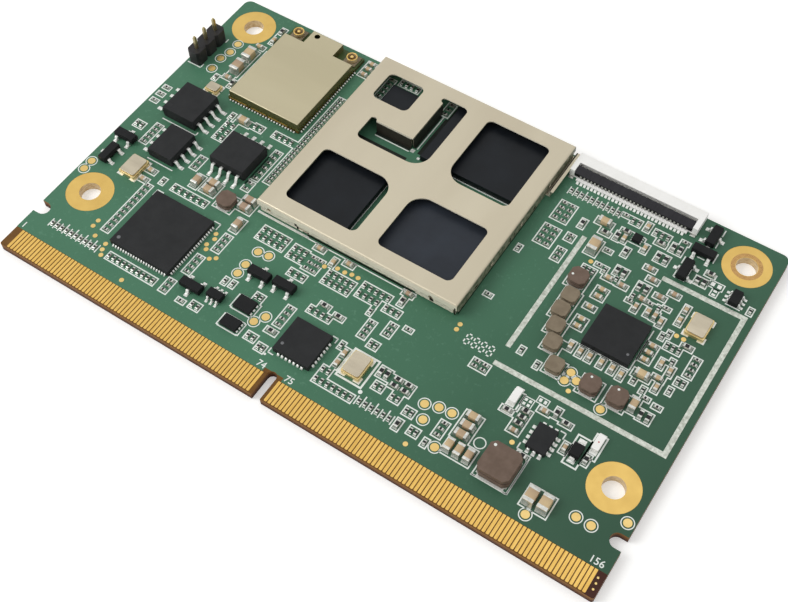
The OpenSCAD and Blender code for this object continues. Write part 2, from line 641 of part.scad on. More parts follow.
// The frame is a fence inside the cover with an inward rim.
// At the back right it forms a channel round the cover's wall.
module shield_frame() {
    fence_h = shield_h - sheet_t;
    w = shield_w - 2 * frame_inset;
    d = shield_d - 2 * frame_inset;
    inner = 2 * sheet_t;
    channel_out = frame_inset + shield_gap + sheet_t + channel_gap + sheet_t;
    color("#B9AE93") on_shield() {
        translate([frame_inset, frame_inset, 0]) difference() {
            cube([w, d, fence_h]);
            translate([sheet_t, sheet_t, -1]) cube([w - inner, d - inner, fence_h + 1 - sheet_t]);
            translate([rim_w, rim_w, -1]) cube([w - 2 * rim_w, d - 2 * rim_w, fence_h + 2]);
            translate([front_port[0], -1, -1]) cube([front_port[1], 2 * rim_w, 1 + port_h]);
        }
        translate([shield_w - frame_inset - sheet_t, shield_d - channel_len - sheet_t, 0]) {
            cube([channel_out, channel_len, sheet_t]);
            translate([channel_out - sheet_t, 0, 0]) cube([sheet_t, channel_len, channel_h]);
        }
    }
}

module package_at(p, w, d) {
    on_shield() translate([p[0], p[1], 0]) block(w, d, package_h);
}

module processor() {
    color("#26262A") package_at(processor_at, processor_side, processor_side);
}

module memory_front() {
    color("#2A2B30") package_at(memory_front_at, memory_w, memory_l);
}

module memory_rear() {
    color("#2A2B30") package_at(memory_rear_at, memory_l, memory_w);
}

module companion_chip() {
    color(mould) package_at(companion_at, companion_side, companion_side);
}

// Castellations run along the front and both sides, in from the corners.
function castellations(length) = [
    for (y = [castellation_pitch:castellation_pitch:length - castellation_pitch]) y
];

module radio_board() {
    color("#3A5A3C") on_radio(board_t) linear_extrude(radio_board_t) difference() {
        square([radio_w, radio_d]);
        for (x = castellations(radio_w)) translate([x, 0]) circle(castellation_r);
        for (y = castellations(radio_d - castellation_end), x = [0, radio_w]) translate([x, y])
            circle(castellation_r);
    }
}

module radio_lands() {
    land_w = 0.26;
    land_out = 0.3;
    color(tin) on_radio(board_t) {
        for (x = castellations(radio_w)) translate([x - land_w / 2, -land_out, 0])
            cube([land_w, land_out, land_t]);
        for (y = castellations(radio_d - castellation_end), x = [-land_out, radio_w])
            translate([x, y - land_w / 2, 0]) cube([land_out, land_w, land_t]);
    }
}

// The can's outline, drawn in from its outer face by the given distance, also round the two corner bays.
module can_outline(shrink) {
    low = can_inset + shrink;
    bay = [bay_w + low, bay_d + low];
    difference() {
        translate([low, low]) square([radio_w - 2 * low, radio_d - 2 * low]);
        for (x = [-1, radio_w - bay[0]]) translate([x, radio_d - bay[1]]) square([bay[0] + 1, bay[1] + 1]);
    }
}

module radio_can() {
    color("#C4BA9B") on_radio(radio_top) difference() {
        linear_extrude(can_h) can_outline(0);
        translate([0, 0, -1]) linear_extrude(1 + can_h - can_t) can_outline(can_t);
        translate([can_vent_at[0], can_vent_at[1], can_h / 2]) cylinder(r = can_vent_r, h = can_h);
    }
}

module at_coax() {
    on_radio(radio_top) for (p = coax_places) translate([p[0], p[1], 0]) children();
}

module coax_insulators() {
    color("#E8E2D2") at_coax() block(coax_base, coax_base, coax_base_h);
}

module coax_shells() {
    color(gold) at_coax() translate([0, 0, coax_base_h]) difference() {
        cylinder(r = coax_r, h = coax_h);
        translate([0, 0, -1]) cylinder(r = coax_r - coax_wall, h = coax_h + 2);
    }
}

module coax_pins() {
    color(gold) at_coax() translate([0, 0, coax_base_h]) cylinder(r = coax_r * coax_pin_share, h = coax_h);
}

module at_header() {
    in_frame() translate([header_at[0], at_y(header_at[1]), 0]) for (i = header_rows()) translate([0, i, 0])
        children();
}

module header_insulator() {
    color("#1E1E20") difference() {
        at_header() translate([0, 0, board_t]) linear_extrude(header_h)
            chamfered(max(header_side, header_pitch), header_chamfer);
        at_header() block(pin_side, pin_side, board_t + header_h + 1);
    }
}

// A pin with its tip tapered on all four sides, through the board and flush with its underside.
module header_pins() {
    top = board_t + header_h + pin_rise;
    half = pin_side / 2;
    tip = half * pin_tip_share;
    color("#D9CFAE") at_header() intersection() {
        across(pin_side) polygon([[-half, 0], [half, 0], [half, top - pin_tip], [tip, top], [-tip, top],
            [-half, top - pin_tip]]);
        along(pin_side) polygon([[-half, 0], [half, 0], [half, top - pin_tip], [tip, top], [-tip, top],
            [-half, top - pin_tip]]);
    }
}

function flex_rows() = [for (i = [0:flex_count - 1]) (i - (flex_count - 1) / 2) * flex_pitch];

// Floor, roof over the flex slot, and two cheeks that hold the lock's trunnions.
module flex_housing() {
    slot_top = flex_floor + flex_slot_h;
    color("#EFEDE6") on_flex() difference() {
        union() {
            translate([-flex_w / 2, 0, 0]) cube([flex_w, flex_d, flex_floor]);
            translate([-flex_w / 2, flex_roof_y, slot_top])
                cube([flex_w, flex_d - flex_roof_y, flex_h - slot_top]);
            for (side = [0, 1]) mirror([side, 0, 0]) translate([flex_w / 2 - cheek_w, 0, 0])
                cube([cheek_w, flex_d, flex_h]);
        }
        for (side = [0, 1]) mirror([side, 0, 0])
            translate([flex_w / 2 - cheek_w - 1, lock_axis[0], lock_axis[1]]) rotate([0, 90, 0])
                cylinder(r = trunnion_r + lock_gap, h = 1 + trunnion_len + lock_gap);
    }
}

// A stamped contact: tail on the board, riser at the housing's back, prong in front of the lock's
// axis and arm in the slot.
module flex_contacts() {
    riser = 0.1;
    arm_top = flex_floor + tail_t;
    arm_end = flex_d - flex_arm_end;
    color(tin) on_flex() for (x = flex_rows()) translate([x, 0, 0]) along(flex_contact_w)
        polygon([[-tail_len, 0], [0, 0], [0, flex_floor], [arm_end, flex_floor], [arm_end, arm_top],
            [prong_y, arm_top], [prong_y, prong_h], [prong_y - prong_w, prong_h], [0, arm_top],
            [-riser, arm_top], [-2 * riser, tail_t], [-tail_len, tail_t]]);
}

module flex_hold_downs() {
    color(tin) on_flex() for (side = [0, 1]) mirror([side, 0, 0])
        translate([flex_w / 2 - hold_down_inset - hold_down[0], -hold_down[1], 0])
            cube([hold_down[0], hold_down[1], tail_t]);
}

// The lock is a bar with a round nose about its axis, teeth between the contacts and two trunnions.
module flip_lock() {
    y = lock_axis[0];
    z = lock_axis[1];
    space = flex_contact_w + 2 * lock_tooth_gap;
    color("#1B1B1D") on_flex() difference() {
        union() {
            along(lock_w) {
                translate([y, z]) circle(lock_nose_r);
                polygon([[y - lock_back, lock_foot], [y, lock_foot], [y + lock_nose_r, z],
                    [y + lock_crest, lock_top], [y - lock_back + lock_slope[0], lock_top],
                    [y - lock_back, lock_top - lock_slope[1]]]);
            }
            for (side = [0, 1]) mirror([side, 0, 0]) translate([lock_w / 2 - lock_root, y, z])
                rotate([0, 90, 0]) cylinder(r = trunnion_r, h = lock_root + lock_gap + trunnion_len);
        }
        for (x = flex_rows()) translate([x - space / 2, y - lock_back - 1, 0])
            cube([space, 1 + lock_tooth_d, lock_foot + lock_tooth_h]);
    }
}

module flat_chip(c) {
    color(mould) on_board([c]) block(c[2], c[2], flat_chip_h);
}

module hub_chip() {
    flat_chip(hub);
}

module bridge_chip() {
    flat_chip(bridge);
}

module solder_toe(start, reach, rise, width) {
    across(width) polygon([[start, 0], [start + reach, 0], [start, rise]]);
}

module flat_chip_leads() {
    toe = 0.28;
    rise = 0.3;
    lead_share = 0.6;
    color(tin) for (c = [hub, bridge]) on_board([c]) for (turn = [0:90:270]) rotate(turn)
        for (i = [0:c[3] - 1]) translate([0, (i - (c[3] - 1) / 2) * c[4], 0])
            solder_toe(c[2] / 2, toe, rise, c[4] * lead_share);
}

module power_manager() {
    side = power_manager_side;
    color(mould) on_board([power_manager_at]) block(side, side, power_manager_h);
}

module converter_chip() {
    color(mould) on_board([converter_at]) block(converter_size[0], converter_size[1], converter_size[2]);
}

module converter_leads() {
    toe = 0.3;
    color(tin) on_board([converter_at]) {
        for (side = [0, 180], y = converter_side_leads) rotate(side) translate([0, y, 0])
            solder_toe(converter_size[0] / 2, toe, toe, converter_lead_w);
        for (side = [90, 270], x = converter_end_leads) rotate(side) translate([0, x, 0])
            solder_toe(converter_size[1] / 2, toe, toe, converter_lead_w);
    }
}

module wide_eight_lead_bodies() {
    color(mould) turned_on_board(wide_places) moulded_body(wide_body);
}

module narrow_eight_lead_body() {
    color(mould) turned_on_board([narrow_place]) moulded_body(narrow_body);
}

module eight_lead_legs() {
    legs = [for (i = [-1.5:1:1.5]) i * leg_pitch];
    color(tin) {
        turned_on_board(wide_places) leg_pair(wide_body, wide_span, leg_w, legs, legs);
        turned_on_board([narrow_place]) leg_pair(narrow_body, narrow_span, leg_w, legs, legs);
    }
}

// Transistors are drawn with their single leg at the back.
module transistor_bodies() {
    color(mould) turned_on_board(transistor_places) rotate(90)
        moulded_body([transistor_body[1], transistor_body[0], transistor_body[2]]);
}

module transistor_legs() {
    body = [transistor_body[1], transistor_body[0], transistor_body[2]];
    color(tin) turned_on_board(transistor_places) rotate(90)
        leg_pair(body, transistor_span, leg_w, [0], [-transistor_pitch, transistor_pitch]);
}

module six_lead_bodies() {
    color(mould) turned_on_board(six_lead_places) rotate(90)
        moulded_body([six_lead_body[1], six_lead_body[0], six_lead_body[2]]);
}

module six_lead_legs() {
    body = [six_lead_body[1], six_lead_body[0], six_lead_body[2]];
    legs = [-six_lead_pitch, 0, six_lead_pitch];
    color(tin) turned_on_board(six_lead_places) rotate(90)
        leg_pair(body, six_lead_span, fine_leg_w, legs, legs);
}

module no_lead_chips() {
    color(mould) for (c = no_lead_places) on_board([c]) block(c[2], c[3], no_lead_h);
}

module no_lead_lands() {
    toe = 0.2;
    color(tin) for (c = no_lead_places) on_board([c]) for (side = [0, 180], y = [-1, 0, 1]) rotate(side)
        translate([0, y * c[3] * no_lead_pitch_share, 0])
            solder_toe(c[2] / 2, toe, toe, c[3] * no_lead_land_share);
}

module diode_body() {
    color(mould) turned_on_board([diode_place]) moulded_body(diode_body_size);
}

module diode_legs() {
    color(tin) turned_on_board([diode_place]) leg_pair(diode_body_size, diode_span, diode_leg_w, [0], [0]);
}

module lamps() {
    r = lamp_corner;
    color("#F2F0E6") on_board(lamp_places) linear_extrude(lamp_size[2])
        translate([-lamp_size[0] / 2, -lamp_size[1] / 2])
            cornered(lamp_size[0], lamp_size[1], [r, r, r, r]);
}

module crystal_bases() {
    r = crystal_base_corner;
    color("#D9B45F") for (c = crystal_places) on_board([c]) linear_extrude(c[4] - crystal_lid_h)
        translate([-c[2] / 2, -c[3] / 2]) cornered(c[2], c[3], [r, r, r, r]);
}

module crystal_lids() {
    r = crystal_lid_corner;
    color("#C5BBAA") for (c = crystal_places) on_board([c]) translate([0, 0, c[4] - crystal_lid_h])
        linear_extrude(crystal_lid_h) translate([-c[2] / 2 + crystal_rim, -c[3] / 2 + crystal_rim])
            cornered(c[2] - 2 * crystal_rim, c[3] - 2 * crystal_rim, [r, r, r, r]);
}

// A drum core on its terminals: two flanges with a narrower waist between them.
module drum(side, cut, top) {
    h = top - coil_foot;
    flange = h * flange_share;
    translate([0, 0, coil_foot]) {
        linear_extrude(flange) chamfered(side, cut);
        linear_extrude(h) chamfered(side - 2 * waist_inset, cut);
        translate([0, 0, h - flange]) linear_extrude(flange) chamfered(side, cut);
    }
}

module choke_core() {
    color("#6B5B52") on_board([choke_at]) drum(choke_side, choke_chamfer, choke_h);
}

module coil_feet(side) {
    for (x = [-1, 1]) translate([x * side * terminal_offset, 0, 0])
        block(side * terminal_w, side * terminal_d, coil_foot);
}

module choke_terminals() {
    color(tin) on_board([choke_at]) coil_feet(choke_side);
}

module coil_cores() {
    color("#6B5B52") for (c = coil_places) on_board([c]) drum(coil_side, coil_chamfer, c[2]);
}

module coil_terminals() {
    color(tin) on_board(coil_places) coil_feet(coil_side);
}

module chip_coil_bodies() {
    color("#8C7D6B") turned_on_board(chip_coil_places)
        drum(chip_coil_side, chip_coil_chamfer, chip_coil_h);
}

module chip_coil_ends() {
    color(tin) turned_on_board(chip_coil_places) coil_feet(chip_coil_side);
}

module large_capacitors() {
    color(ceramic) {
        turned_on_board(large_places) chip_core(size_large);
        turned_on_board(mid_places) chip_core(size_mid);
    }
}

module large_capacitor_ends() {
    color(tin) {
        turned_on_board(large_places) chip_ends(size_large);
        turned_on_board(mid_places) chip_ends(size_mid);
    }
}

module small_capacitors() {
    color(ceramic) turned_on_board(small_places) chip_core(size_small);
}

module small_capacitor_ends() {
    color(tin) turned_on_board(small_places) chip_ends(size_small);
}

module chip_resistors() {
    color("#222224") {
        turned_on_board(resistor_places) chip_core(size_small);
        turned_on_board(tiny_places) chip_core(size_tiny);
    }
}

module chip_resistor_ends() {
    color(tin) {
        turned_on_board(resistor_places) chip_ends(size_small);
        turned_on_board(tiny_places) chip_ends(size_tiny);
    }
}

circuit_board();
edge_contacts_top();
edge_contacts_bottom();
hole_plating();
test_pads();
tinned_strips();
shield_frame();
shield_cover();
processor();
memory_front();
memory_rear();
companion_chip();
radio_board();
radio_can();
radio_lands();
coax_insulators();
coax_shells();
coax_pins();
header_insulator();
header_pins();
flex_housing();
flex_contacts();
flex_hold_downs();
flip_lock();
hub_chip();
bridge_chip();
flat_chip_leads();
power_manager();
converter_chip();
converter_leads();
wide_eight_lead_bodies();
narrow_eight_lead_body();
eight_lead_legs();
transistor_bodies();
transistor_legs();
six_lead_bodies();
six_lead_legs();
no_lead_chips();
no_lead_lands();
diode_body();
diode_legs();
lamps();
crystal_bases();
crystal_lids();
choke_core();
choke_terminals();
coil_cores();
coil_terminals();
chip_coil_bodies();
chip_coil_ends();
large_capacitors();
large_capacitor_ends();
small_capacitors();
small_capacitor_ends();
chip_resistors();
chip_resistor_ends();
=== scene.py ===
"""Looks of a card-edge computer module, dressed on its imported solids."""

import logging
import math
from dataclasses import dataclass, field, replace
from enum import Enum
from functools import cache
from typing import Iterable, Sequence

import bmesh
import bpy
import numpy as np
from mathutils import Matrix, Vector


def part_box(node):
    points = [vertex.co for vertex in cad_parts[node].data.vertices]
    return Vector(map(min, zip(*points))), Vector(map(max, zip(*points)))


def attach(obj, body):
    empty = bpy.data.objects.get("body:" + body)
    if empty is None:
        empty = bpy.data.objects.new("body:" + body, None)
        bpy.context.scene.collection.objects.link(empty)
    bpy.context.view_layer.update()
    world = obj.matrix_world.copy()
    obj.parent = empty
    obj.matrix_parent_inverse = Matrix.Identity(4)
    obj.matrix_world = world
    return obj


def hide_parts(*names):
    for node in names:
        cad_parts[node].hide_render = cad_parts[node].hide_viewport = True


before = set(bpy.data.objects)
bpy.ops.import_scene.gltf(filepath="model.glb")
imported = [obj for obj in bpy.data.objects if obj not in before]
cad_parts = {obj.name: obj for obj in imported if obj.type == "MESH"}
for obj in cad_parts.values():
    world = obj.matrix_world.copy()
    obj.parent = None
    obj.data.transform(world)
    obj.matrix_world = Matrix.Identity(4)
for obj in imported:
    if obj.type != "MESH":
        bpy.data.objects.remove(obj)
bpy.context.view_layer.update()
LOG = logging.getLogger("module_looks")
MM = 0.001
MERGE_M = 1e-7
TOUCH_M = 1e-6
MODULE = "module"
LOCK = "flip_lock"
BOARD_LOW, BOARD_HIGH = (np.array(corner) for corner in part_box("circuit_board"))
BOARD_TOP_MM = float(BOARD_HIGH[2] / MM)
Box = tuple[np.ndarray, np.ndarray]
Place = tuple[float, float]
Triple = tuple[float, float, float]
Span = tuple[float, float, float, float]
Socket = bpy.types.NodeSocket
Mesh = bpy.types.Mesh
Object = bpy.types.Object


class Slot(Enum):
    """Material slots of the record."""

    MASK = "mask"
    GOLD = "gold"
    TIN = "tin"
    SHEET = "shield_sheet"
    MOULD = "mould"
    PACKAGE = "package"
    RADIO_MASK = "radio_mask"
    BLACK = "black_plastic"
    PALE = "pale_plastic"
    PIN = "pin_metal"
    LID = "crystal_lid"
    FERRITE = "ferrite"
    CERAMIC = "ceramic"
    RESISTOR = "resistor"


def linear(code: str) -> tuple[float, float, float, float]:
    """Turns a hex colour as seen on screen into a linear one.

    Args:
        code: Colour such as "#4A7A60".

    Returns:
        Red, green, blue and alpha for a colour socket.
    """
    parts = [int(code[i : i + 2], 16) / 255 for i in (1, 3, 5)]
    red, green, blue = (c / 12.92 if c <= 0.04045 else ((c + 0.055) / 1.055) ** 2.4 for c in parts)
    return red, green, blue, 1.0


class Shader:
    """Writes the node tree of one material."""

    def __init__(self, name: str) -> None:
        """Starts a material with one principled shader."""
        self.material = bpy.data.materials.new(name)
        self.material.use_nodes = True
        self.tree = self.material.node_tree
        self.surface = self.tree.nodes["Principled BSDF"]
        self.coords = self.tree.nodes.new("ShaderNodeTexCoord").outputs["Object"]

    def node(self, kind: str, inputs: dict, **settings: object) -> bpy.types.Node:
        """Adds a node.

        Args:
            kind: Node type.
            inputs: Socket name or number to a value or to another node's output.
            settings: Properties of the node.

        Returns:
            The new node.
        """
        made = self.tree.nodes.new(kind)
        for key, value in settings.items():
            setattr(made, key, value)
        for key, value in inputs.items():
            if isinstance(value, Socket):
                self.tree.links.new(value, made.inputs[key])
            else:
                made.inputs[key].default_value = value
        return made

    def noise(self, size_mm: float, stretch: Sequence[float] = (1, 1, 1), detail: float = 3.0) -> Socket:
        """Adds noise with features of a given size.

        Args:
            size_mm: Size of the features.
            stretch: How much longer they are along each axis.
            detail: Number of finer layers.

        Returns:
            The noise value.
        """
        scale = [1 / (size_mm * MM * s) for s in stretch]
        place = self.node("ShaderNodeMapping", {"Vector": self.coords, "Scale": scale})
        made = self.node("ShaderNodeTexNoise", {"Vector": place.outputs[0], "Scale": 1.0, "Detail": detail})
        return made.outputs["Fac"]

    def spread(self, value: Socket, low: float, high: float, start: float = 0.3, end: float = 0.7) -> Socket:
        """Maps a value from start..end to low..high and returns it."""
        made = self.node("ShaderNodeMapRange", {0: value, 1: start, 2: end, 3: low, 4: high})
        return made.outputs[0]

    def mix(self, share: Socket, first: object, second: object) -> Socket:
        """Mixes two colours, each a hex code or a socket, and returns the colour."""
        pair = [linear(c) if isinstance(c, str) else c for c in (first, second)]
        made = self.node("ShaderNodeMix", {0: share, 6: pair[0], 7: pair[1]}, data_type="RGBA")
        return made.outputs[2]

    def maths(self, operation: str, first: object, second: object = 0.0) -> Socket:
        """Joins two numbers or sockets by a maths operation and returns the result."""
        return self.node("ShaderNodeMath", {0: first, 1: second}, operation=operation).outputs[0]

    def relief(self, height: Socket, depth_um: float) -> None:
        """Bumps the surface by a height of the given depth."""
        made = self.node("ShaderNodeBump", {"Height": height, "Distance": depth_um * 1e-6, "Strength": 1.0})
        self.tree.links.new(made.outputs[0], self.surface.inputs["Normal"])

    def fixed(self, **values: object) -> None:
        """Sets plain values on the principled shader; underscores stand for spaces."""
        for key, value in values.items():
            self.surface.inputs[key.replace("_", " ")].default_value = value

    def drive(self, name: str, value: Socket) -> None:
        """Links a value to a socket of the principled shader."""
        self.tree.links.new(value, self.surface.inputs[name])


@dataclass(frozen=True)
class Finish:
    """A surface finish: two colours in soft patches, a fine grain and its gloss."""

    name: str
    slot: Slot
    colour: str
    second: str
    metallic: float = 0.0
    roughness: float = 0.5
    gloss_spread: float = 0.08
    patch_mm: float = 0.5
    grain_mm: float = 0.05
    relief_um: float = 1.0
    stretch: Triple = (1.0, 1.0, 1.0)
    specular: float = 0.5
    mark: str = ""
    gloss_patch: float = 0.4
    least_roughness: float = 0.02

    def colours(self, shader: Shader) -> Socket:
        """Mixes the finish's colours.

        Args:
            shader: Writer of the material.

        Returns:
            The base colour.
        """
        patches = shader.spread(shader.noise(self.patch_mm, self.stretch), 0.0, 1.0)
        mixed = shader.mix(patches, self.colour, self.second)
        if not self.mark:
            return mixed
        tone = shader.node("ShaderNodeAttribute", {}, attribute_name="tone").outputs["Fac"]
        return shader.mix(tone, mixed, self.mark)

    def metal(self, shader: Shader) -> None:
        """Sets how metallic the surface is."""
        shader.fixed(Metallic=self.metallic)

    def build(self) -> bpy.types.Material:
        """Makes the material of the finish and returns it."""
        shader = Shader(self.name)
        shader.fixed(Specular_IOR_Level=self.specular)
        self.metal(shader)
        shader.drive("Base Color", self.colours(shader))
        grain = shader.noise(self.grain_mm, self.stretch)
        gloss = shader.noise(self.patch_mm * self.gloss_patch, self.stretch)
        low = max(self.roughness - self.gloss_spread, self.least_roughness)
        shader.drive("Roughness", shader.spread(gloss, low, self.roughness + self.gloss_spread))
        shader.relief(grain, self.relief_um)
        return shader.material


@dataclass(frozen=True)
class MaskFinish(Finish):
    """Green mask over copper, with bare laminate at the contact edge and on the cut edges.

    Places are in metres of the part's frame.
    """

    cloud_mm: float = 14.0
    fleck: str = "#6C9A80"
    fleck_mm: float = 0.5
    fleck_share: float = 0.35
    fleck_span: Place = (0.6, 0.75)
    painted_shade: str = "#335541"
    painted_shade_span: Place = (0.005, 0.045)
    painted_shade_slope: float = 0.35
    laminate: str = "#75501C"
    laminate_dark: str = "#3E1B0E"
    laminate_mm: float = 1.2
    laminate_share: float = 0.35
    cut_edge: str = "#522A14"
    upper_edge: str = "#8E6230"
    edge_span: Place = (0.0003, 0.0011)
    edge_specular: float = 0.05
    weave_mm: float = 0.15
    weave_stretch: Triple = (6.0, 6.0, 1.0)
    upright_limit: float = 0.5
    end_x: float = 0.0398
    finger_y: float = 0.0
    key_x: float = 0.0
    key_y: float = 0.0
    key_half: float = 0.0

    def bare(self, shader: Shader, x: Socket, y: Socket) -> Socket:
        """Finds the strip under the contacts and round the key slot, which has no mask.

        Args:
            shader: Writer of the material.
            x: Place along the board.
            y: Place across the board.

        Returns:
            1 where the laminate is bare, or else 0.
        """
        in_fingers = shader.maths("LESS_THAN", y, self.finger_y)
        from_key = shader.maths("ABSOLUTE", shader.maths("SUBTRACT", x, self.key_x))
        by_key = shader.maths("LESS_THAN", from_key, self.key_half)
        by_key = shader.maths("MULTIPLY", by_key, shader.maths("LESS_THAN", y, self.key_y))
        return shader.maths("MAXIMUM", in_fingers, by_key)

    def colours(self, shader: Shader) -> Socket:
        """Mixes mask, faint flecks of copper under it, a painted shade towards the right and bare laminate.

        Args:
            shader: Writer of the material.

        Returns:
            The base colour.
        """
        clouds = shader.spread(shader.noise(self.cloud_mm), 0.0, 1.0)
        mask = shader.mix(clouds, self.colour, self.second)
        flecks = shader.noise(self.fleck_mm, detail=6.0)
        mask = shader.mix(shader.spread(flecks, 0.0, self.fleck_share, *self.fleck_span), mask, self.fleck)
        x, y, z = shader.node("ShaderNodeSeparateXYZ", {0: shader.coords}).outputs
        # Painted shade: the mask darkens towards the right, standing in for the sheen that lightens its left
        # side.
        slant = shader.maths("SUBTRACT", x, shader.maths("MULTIPLY", y, self.painted_shade_slope))
        mask = shader.mix(shader.spread(slant, 0.0, 1.0, *self.painted_shade_span), mask, self.painted_shade)
        bare = self.bare(shader, x, y)
        at_end = shader.maths("GREATER_THAN", x, self.end_x)
        grain = shader.spread(shader.noise(self.laminate_mm), 0.0, self.laminate_share)
        grain = shader.maths("MAXIMUM", at_end, grain)
        body = shader.mix(bare, mask, shader.mix(grain, self.laminate, self.laminate_dark))
        facing = shader.node("ShaderNodeNewGeometry", {}).outputs["Normal"]
        upright = shader.maths("ABSOLUTE", shader.node("ShaderNodeSeparateXYZ", {0: facing}).outputs[2])
        shader.drive("Specular IOR Level", shader.spread(upright, self.edge_specular, self.specular))
        weave = shader.spread(shader.noise(self.weave_mm, self.weave_stretch), 0.0, 1.0)
        cut = shader.mix(weave, self.cut_edge, self.laminate_dark)
        cut = shader.mix(shader.spread(z, 0.0, 1.0, *self.edge_span), cut, self.upper_edge)
        return shader.mix(shader.maths("LESS_THAN", upright, self.upright_limit), body, cut)


@dataclass(frozen=True)
class SheetFinish(Finish):
    """A flat part whose upright walls take other colours, mottled up to a given height, with more for walls
    facing right; some finishes use these for painted shade or reflection.
    """

    wall: str = "#E6DFCC"
    wall_dark: str = "#A09C90"
    wall_metallic: float = 0.05
    wall_span: Place = (0.2, 0.6)
    mottle_mm: float = 0.35
    mottle_stretch: Triple = (1.6, 1.6, 0.35)
    mottle_span: Place = (0.4, 0.65)
    band_mm: float = 9.0
    band_soft_mm: float = 0.05
    side: str = ""
    side_dark: str = "#4C543E"
    side_span: Place = (0.5, 0.9)
    cloud_mm: float = 0.9
    cloud_stretch: Triple = (1.0, 0.5, 0.6)
    cloud_span: Place = (0.35, 0.65)

    def facing(self, shader: Shader) -> bpy.types.Node:
        """Returns a node with the three parts of the surface's direction."""
        normal = shader.node("ShaderNodeTexCoord", {}).outputs["Normal"]
        return shader.node("ShaderNodeSeparateXYZ", {0: normal})

    def walls(self, shader: Shader) -> Socket:
        """Returns 1 on upright walls and 0 on flat faces."""
        upright = shader.maths("ABSOLUTE", self.facing(shader).outputs[2])
        return shader.spread(upright, 1.0, 0.0, *self.wall_span)

    def metal(self, shader: Shader) -> None:
        """Sets how metallic flat faces and walls are."""
        walls = self.walls(shader)
        shader.drive("Metallic", shader.spread(walls, self.metallic, self.wall_metallic, 0.0, 1.0))

    def colours(self, shader: Shader) -> Socket:
        """Mixes the flat faces with mottled walls.

        Args:
            shader: Writer of the material.

        Returns:
            The base colour.
        """
        top = super().colours(shader)
        mottle = shader.noise(self.mottle_mm, self.mottle_stretch, detail=5.0)
        mottle = shader.spread(mottle, 0.0, 1.0, *self.mottle_span)
        walls = shader.mix(mottle, self.wall, self.wall_dark)
        height = shader.node("ShaderNodeSeparateXYZ", {0: shader.coords}).outputs[2]
        low, high = ((self.band_mm + way * self.band_soft_mm) * MM for way in (-1, 1))
        walls = shader.mix(shader.spread(height, 0.0, 1.0, low, high), walls, self.wall)
        # Walls facing right take the side colours in clouds; on the shield this is a painted reflection of
        # the board.
        if self.side:
            cloud = shader.noise(self.cloud_mm, self.cloud_stretch, detail=4.0)
            cloud = shader.spread(cloud, 0.0, 1.0, *self.cloud_span)
            to_right = shader.spread(self.facing(shader).outputs[0], 0.0, 1.0, *self.side_span)
            walls = shader.mix(to_right, walls, shader.mix(cloud, self.side, self.side_dark))
        return shader.mix(self.walls(shader), top, walls)


@cache
def material(finish: Finish) -> bpy.types.Material:
    """Returns the one material of a finish."""
    return finish.build()


def merged(node: str) -> bmesh.types.BMesh:
    """Copies a CAD node, merges its loose triangles and returns the copy."""
    solid = bmesh.new()
    solid.from_mesh(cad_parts[node].data)
    bmesh.ops.remove_doubles(solid, verts=solid.verts, dist=MERGE_M)
    return solid


def baked(solid: bmesh.types.BMesh, name: str) -> Mesh:
    """Makes a mesh of an edited solid, frees the solid and returns the mesh."""
    mesh = bpy.data.meshes.new(name)
    solid.to_mesh(mesh)
    solid.free()
    return mesh


def round_edges(solid: bmesh.types.BMesh, edges: Sequence, radius_mm: float, segments: int) -> None:
    """Rounds some edges of a solid in a number of steps."""
    bmesh.ops.bevel(
        solid,
        geom=edges,
        offset=radius_mm * MM,
        offset_type="OFFSET",
        segments=segments,
        profile=0.5,
        affect="EDGES",
        clamp_overlap=True,
    )


def turned_out(name: str, verts: Sequence[Triple], faces: Sequence[tuple[int, ...]]) -> Mesh:
    """Makes a closed mesh and turns its faces outward.

    Args:
        name: Name of the mesh.
        verts: Corners in metres.
        faces: Numbers of each face's corners.

    Returns:
        The new mesh.
    """
    rough = bpy.data.meshes.new(name)
    rough.from_pydata(verts, [], faces)
    solid = bmesh.new()
    solid.from_mesh(rough)
    bmesh.ops.recalc_face_normals(solid, faces=solid.faces)
    bpy.data.meshes.remove(rough)
    return baked(solid, name)


def evaluated(piece: Object) -> Mesh:
    """Makes a plain mesh of an object as its modifiers leave it, and returns the mesh."""
    bpy.context.view_layer.update()
    state = bpy.context.evaluated_depsgraph_get()
    return bpy.data.meshes.new_from_object(piece.evaluated_get(state))


def on_board(point: Sequence[float]) -> np.ndarray:
    """Turns a point in metres into millimetres from the board's corner at contact 1."""
    return (np.array(point) - BOARD_LOW) / MM


def footprint(box: Box, more: float = 0.0) -> Span:
    """Returns left, front, right and back of a box in board millimetres, widened all round."""
    low, high = on_board(box[0]) - more, on_board(box[1]) + more
    return low[0], low[1], high[0], high[1]


def island(start: bmesh.types.BMVert, seen: set[bmesh.types.BMVert]) -> np.ndarray:
    """Collects the corners of one separate solid.

    Args:
        start: Any corner of the solid.
        seen: Corners found so far, to which the solid's own are added.

    Returns:
        The corners' places, in metres.
    """
    seen.add(start)
    stack, members = [start], []
    while stack:
        vert = stack.pop()
        members.append(vert.co)
        fresh = [other for edge in vert.link_edges if (other := edge.other_vert(vert)) not in seen]
        seen.update(fresh)
        stack += fresh
    return np.array(members)


def island_boxes(*nodes: str) -> list[Box]:
    """Finds the boxes of the separate solids of CAD nodes.

    Args:
        nodes: Names of the nodes.

    Returns:
        Lowest and highest corner of each solid, in metres.
    """
    boxes: list[Box] = []
    for node in nodes:
        solid = merged(node)
        seen: set[bmesh.types.BMVert] = set()
        for start in solid.verts:
            if start not in seen:
                points = island(start, seen)
                boxes.append((points.min(0), points.max(0)))
        solid.free()
    return boxes


def link(data: bpy.types.ID, name: str) -> Object:
    """Puts a mesh, curve, camera or lamp into the scene as an object and returns it."""
    made = bpy.data.objects.new(name, data)
    bpy.context.scene.collection.objects.link(made)
    return made


def even_shading(mesh: Mesh, degrees: float) -> None:
    """Shades a mesh smoothly, with sharp edges beyond the given angle."""
    mesh.polygons.foreach_set("use_smooth", [True] * len(mesh.polygons))
    mesh.set_sharp_from_angle(angle=math.radians(degrees))


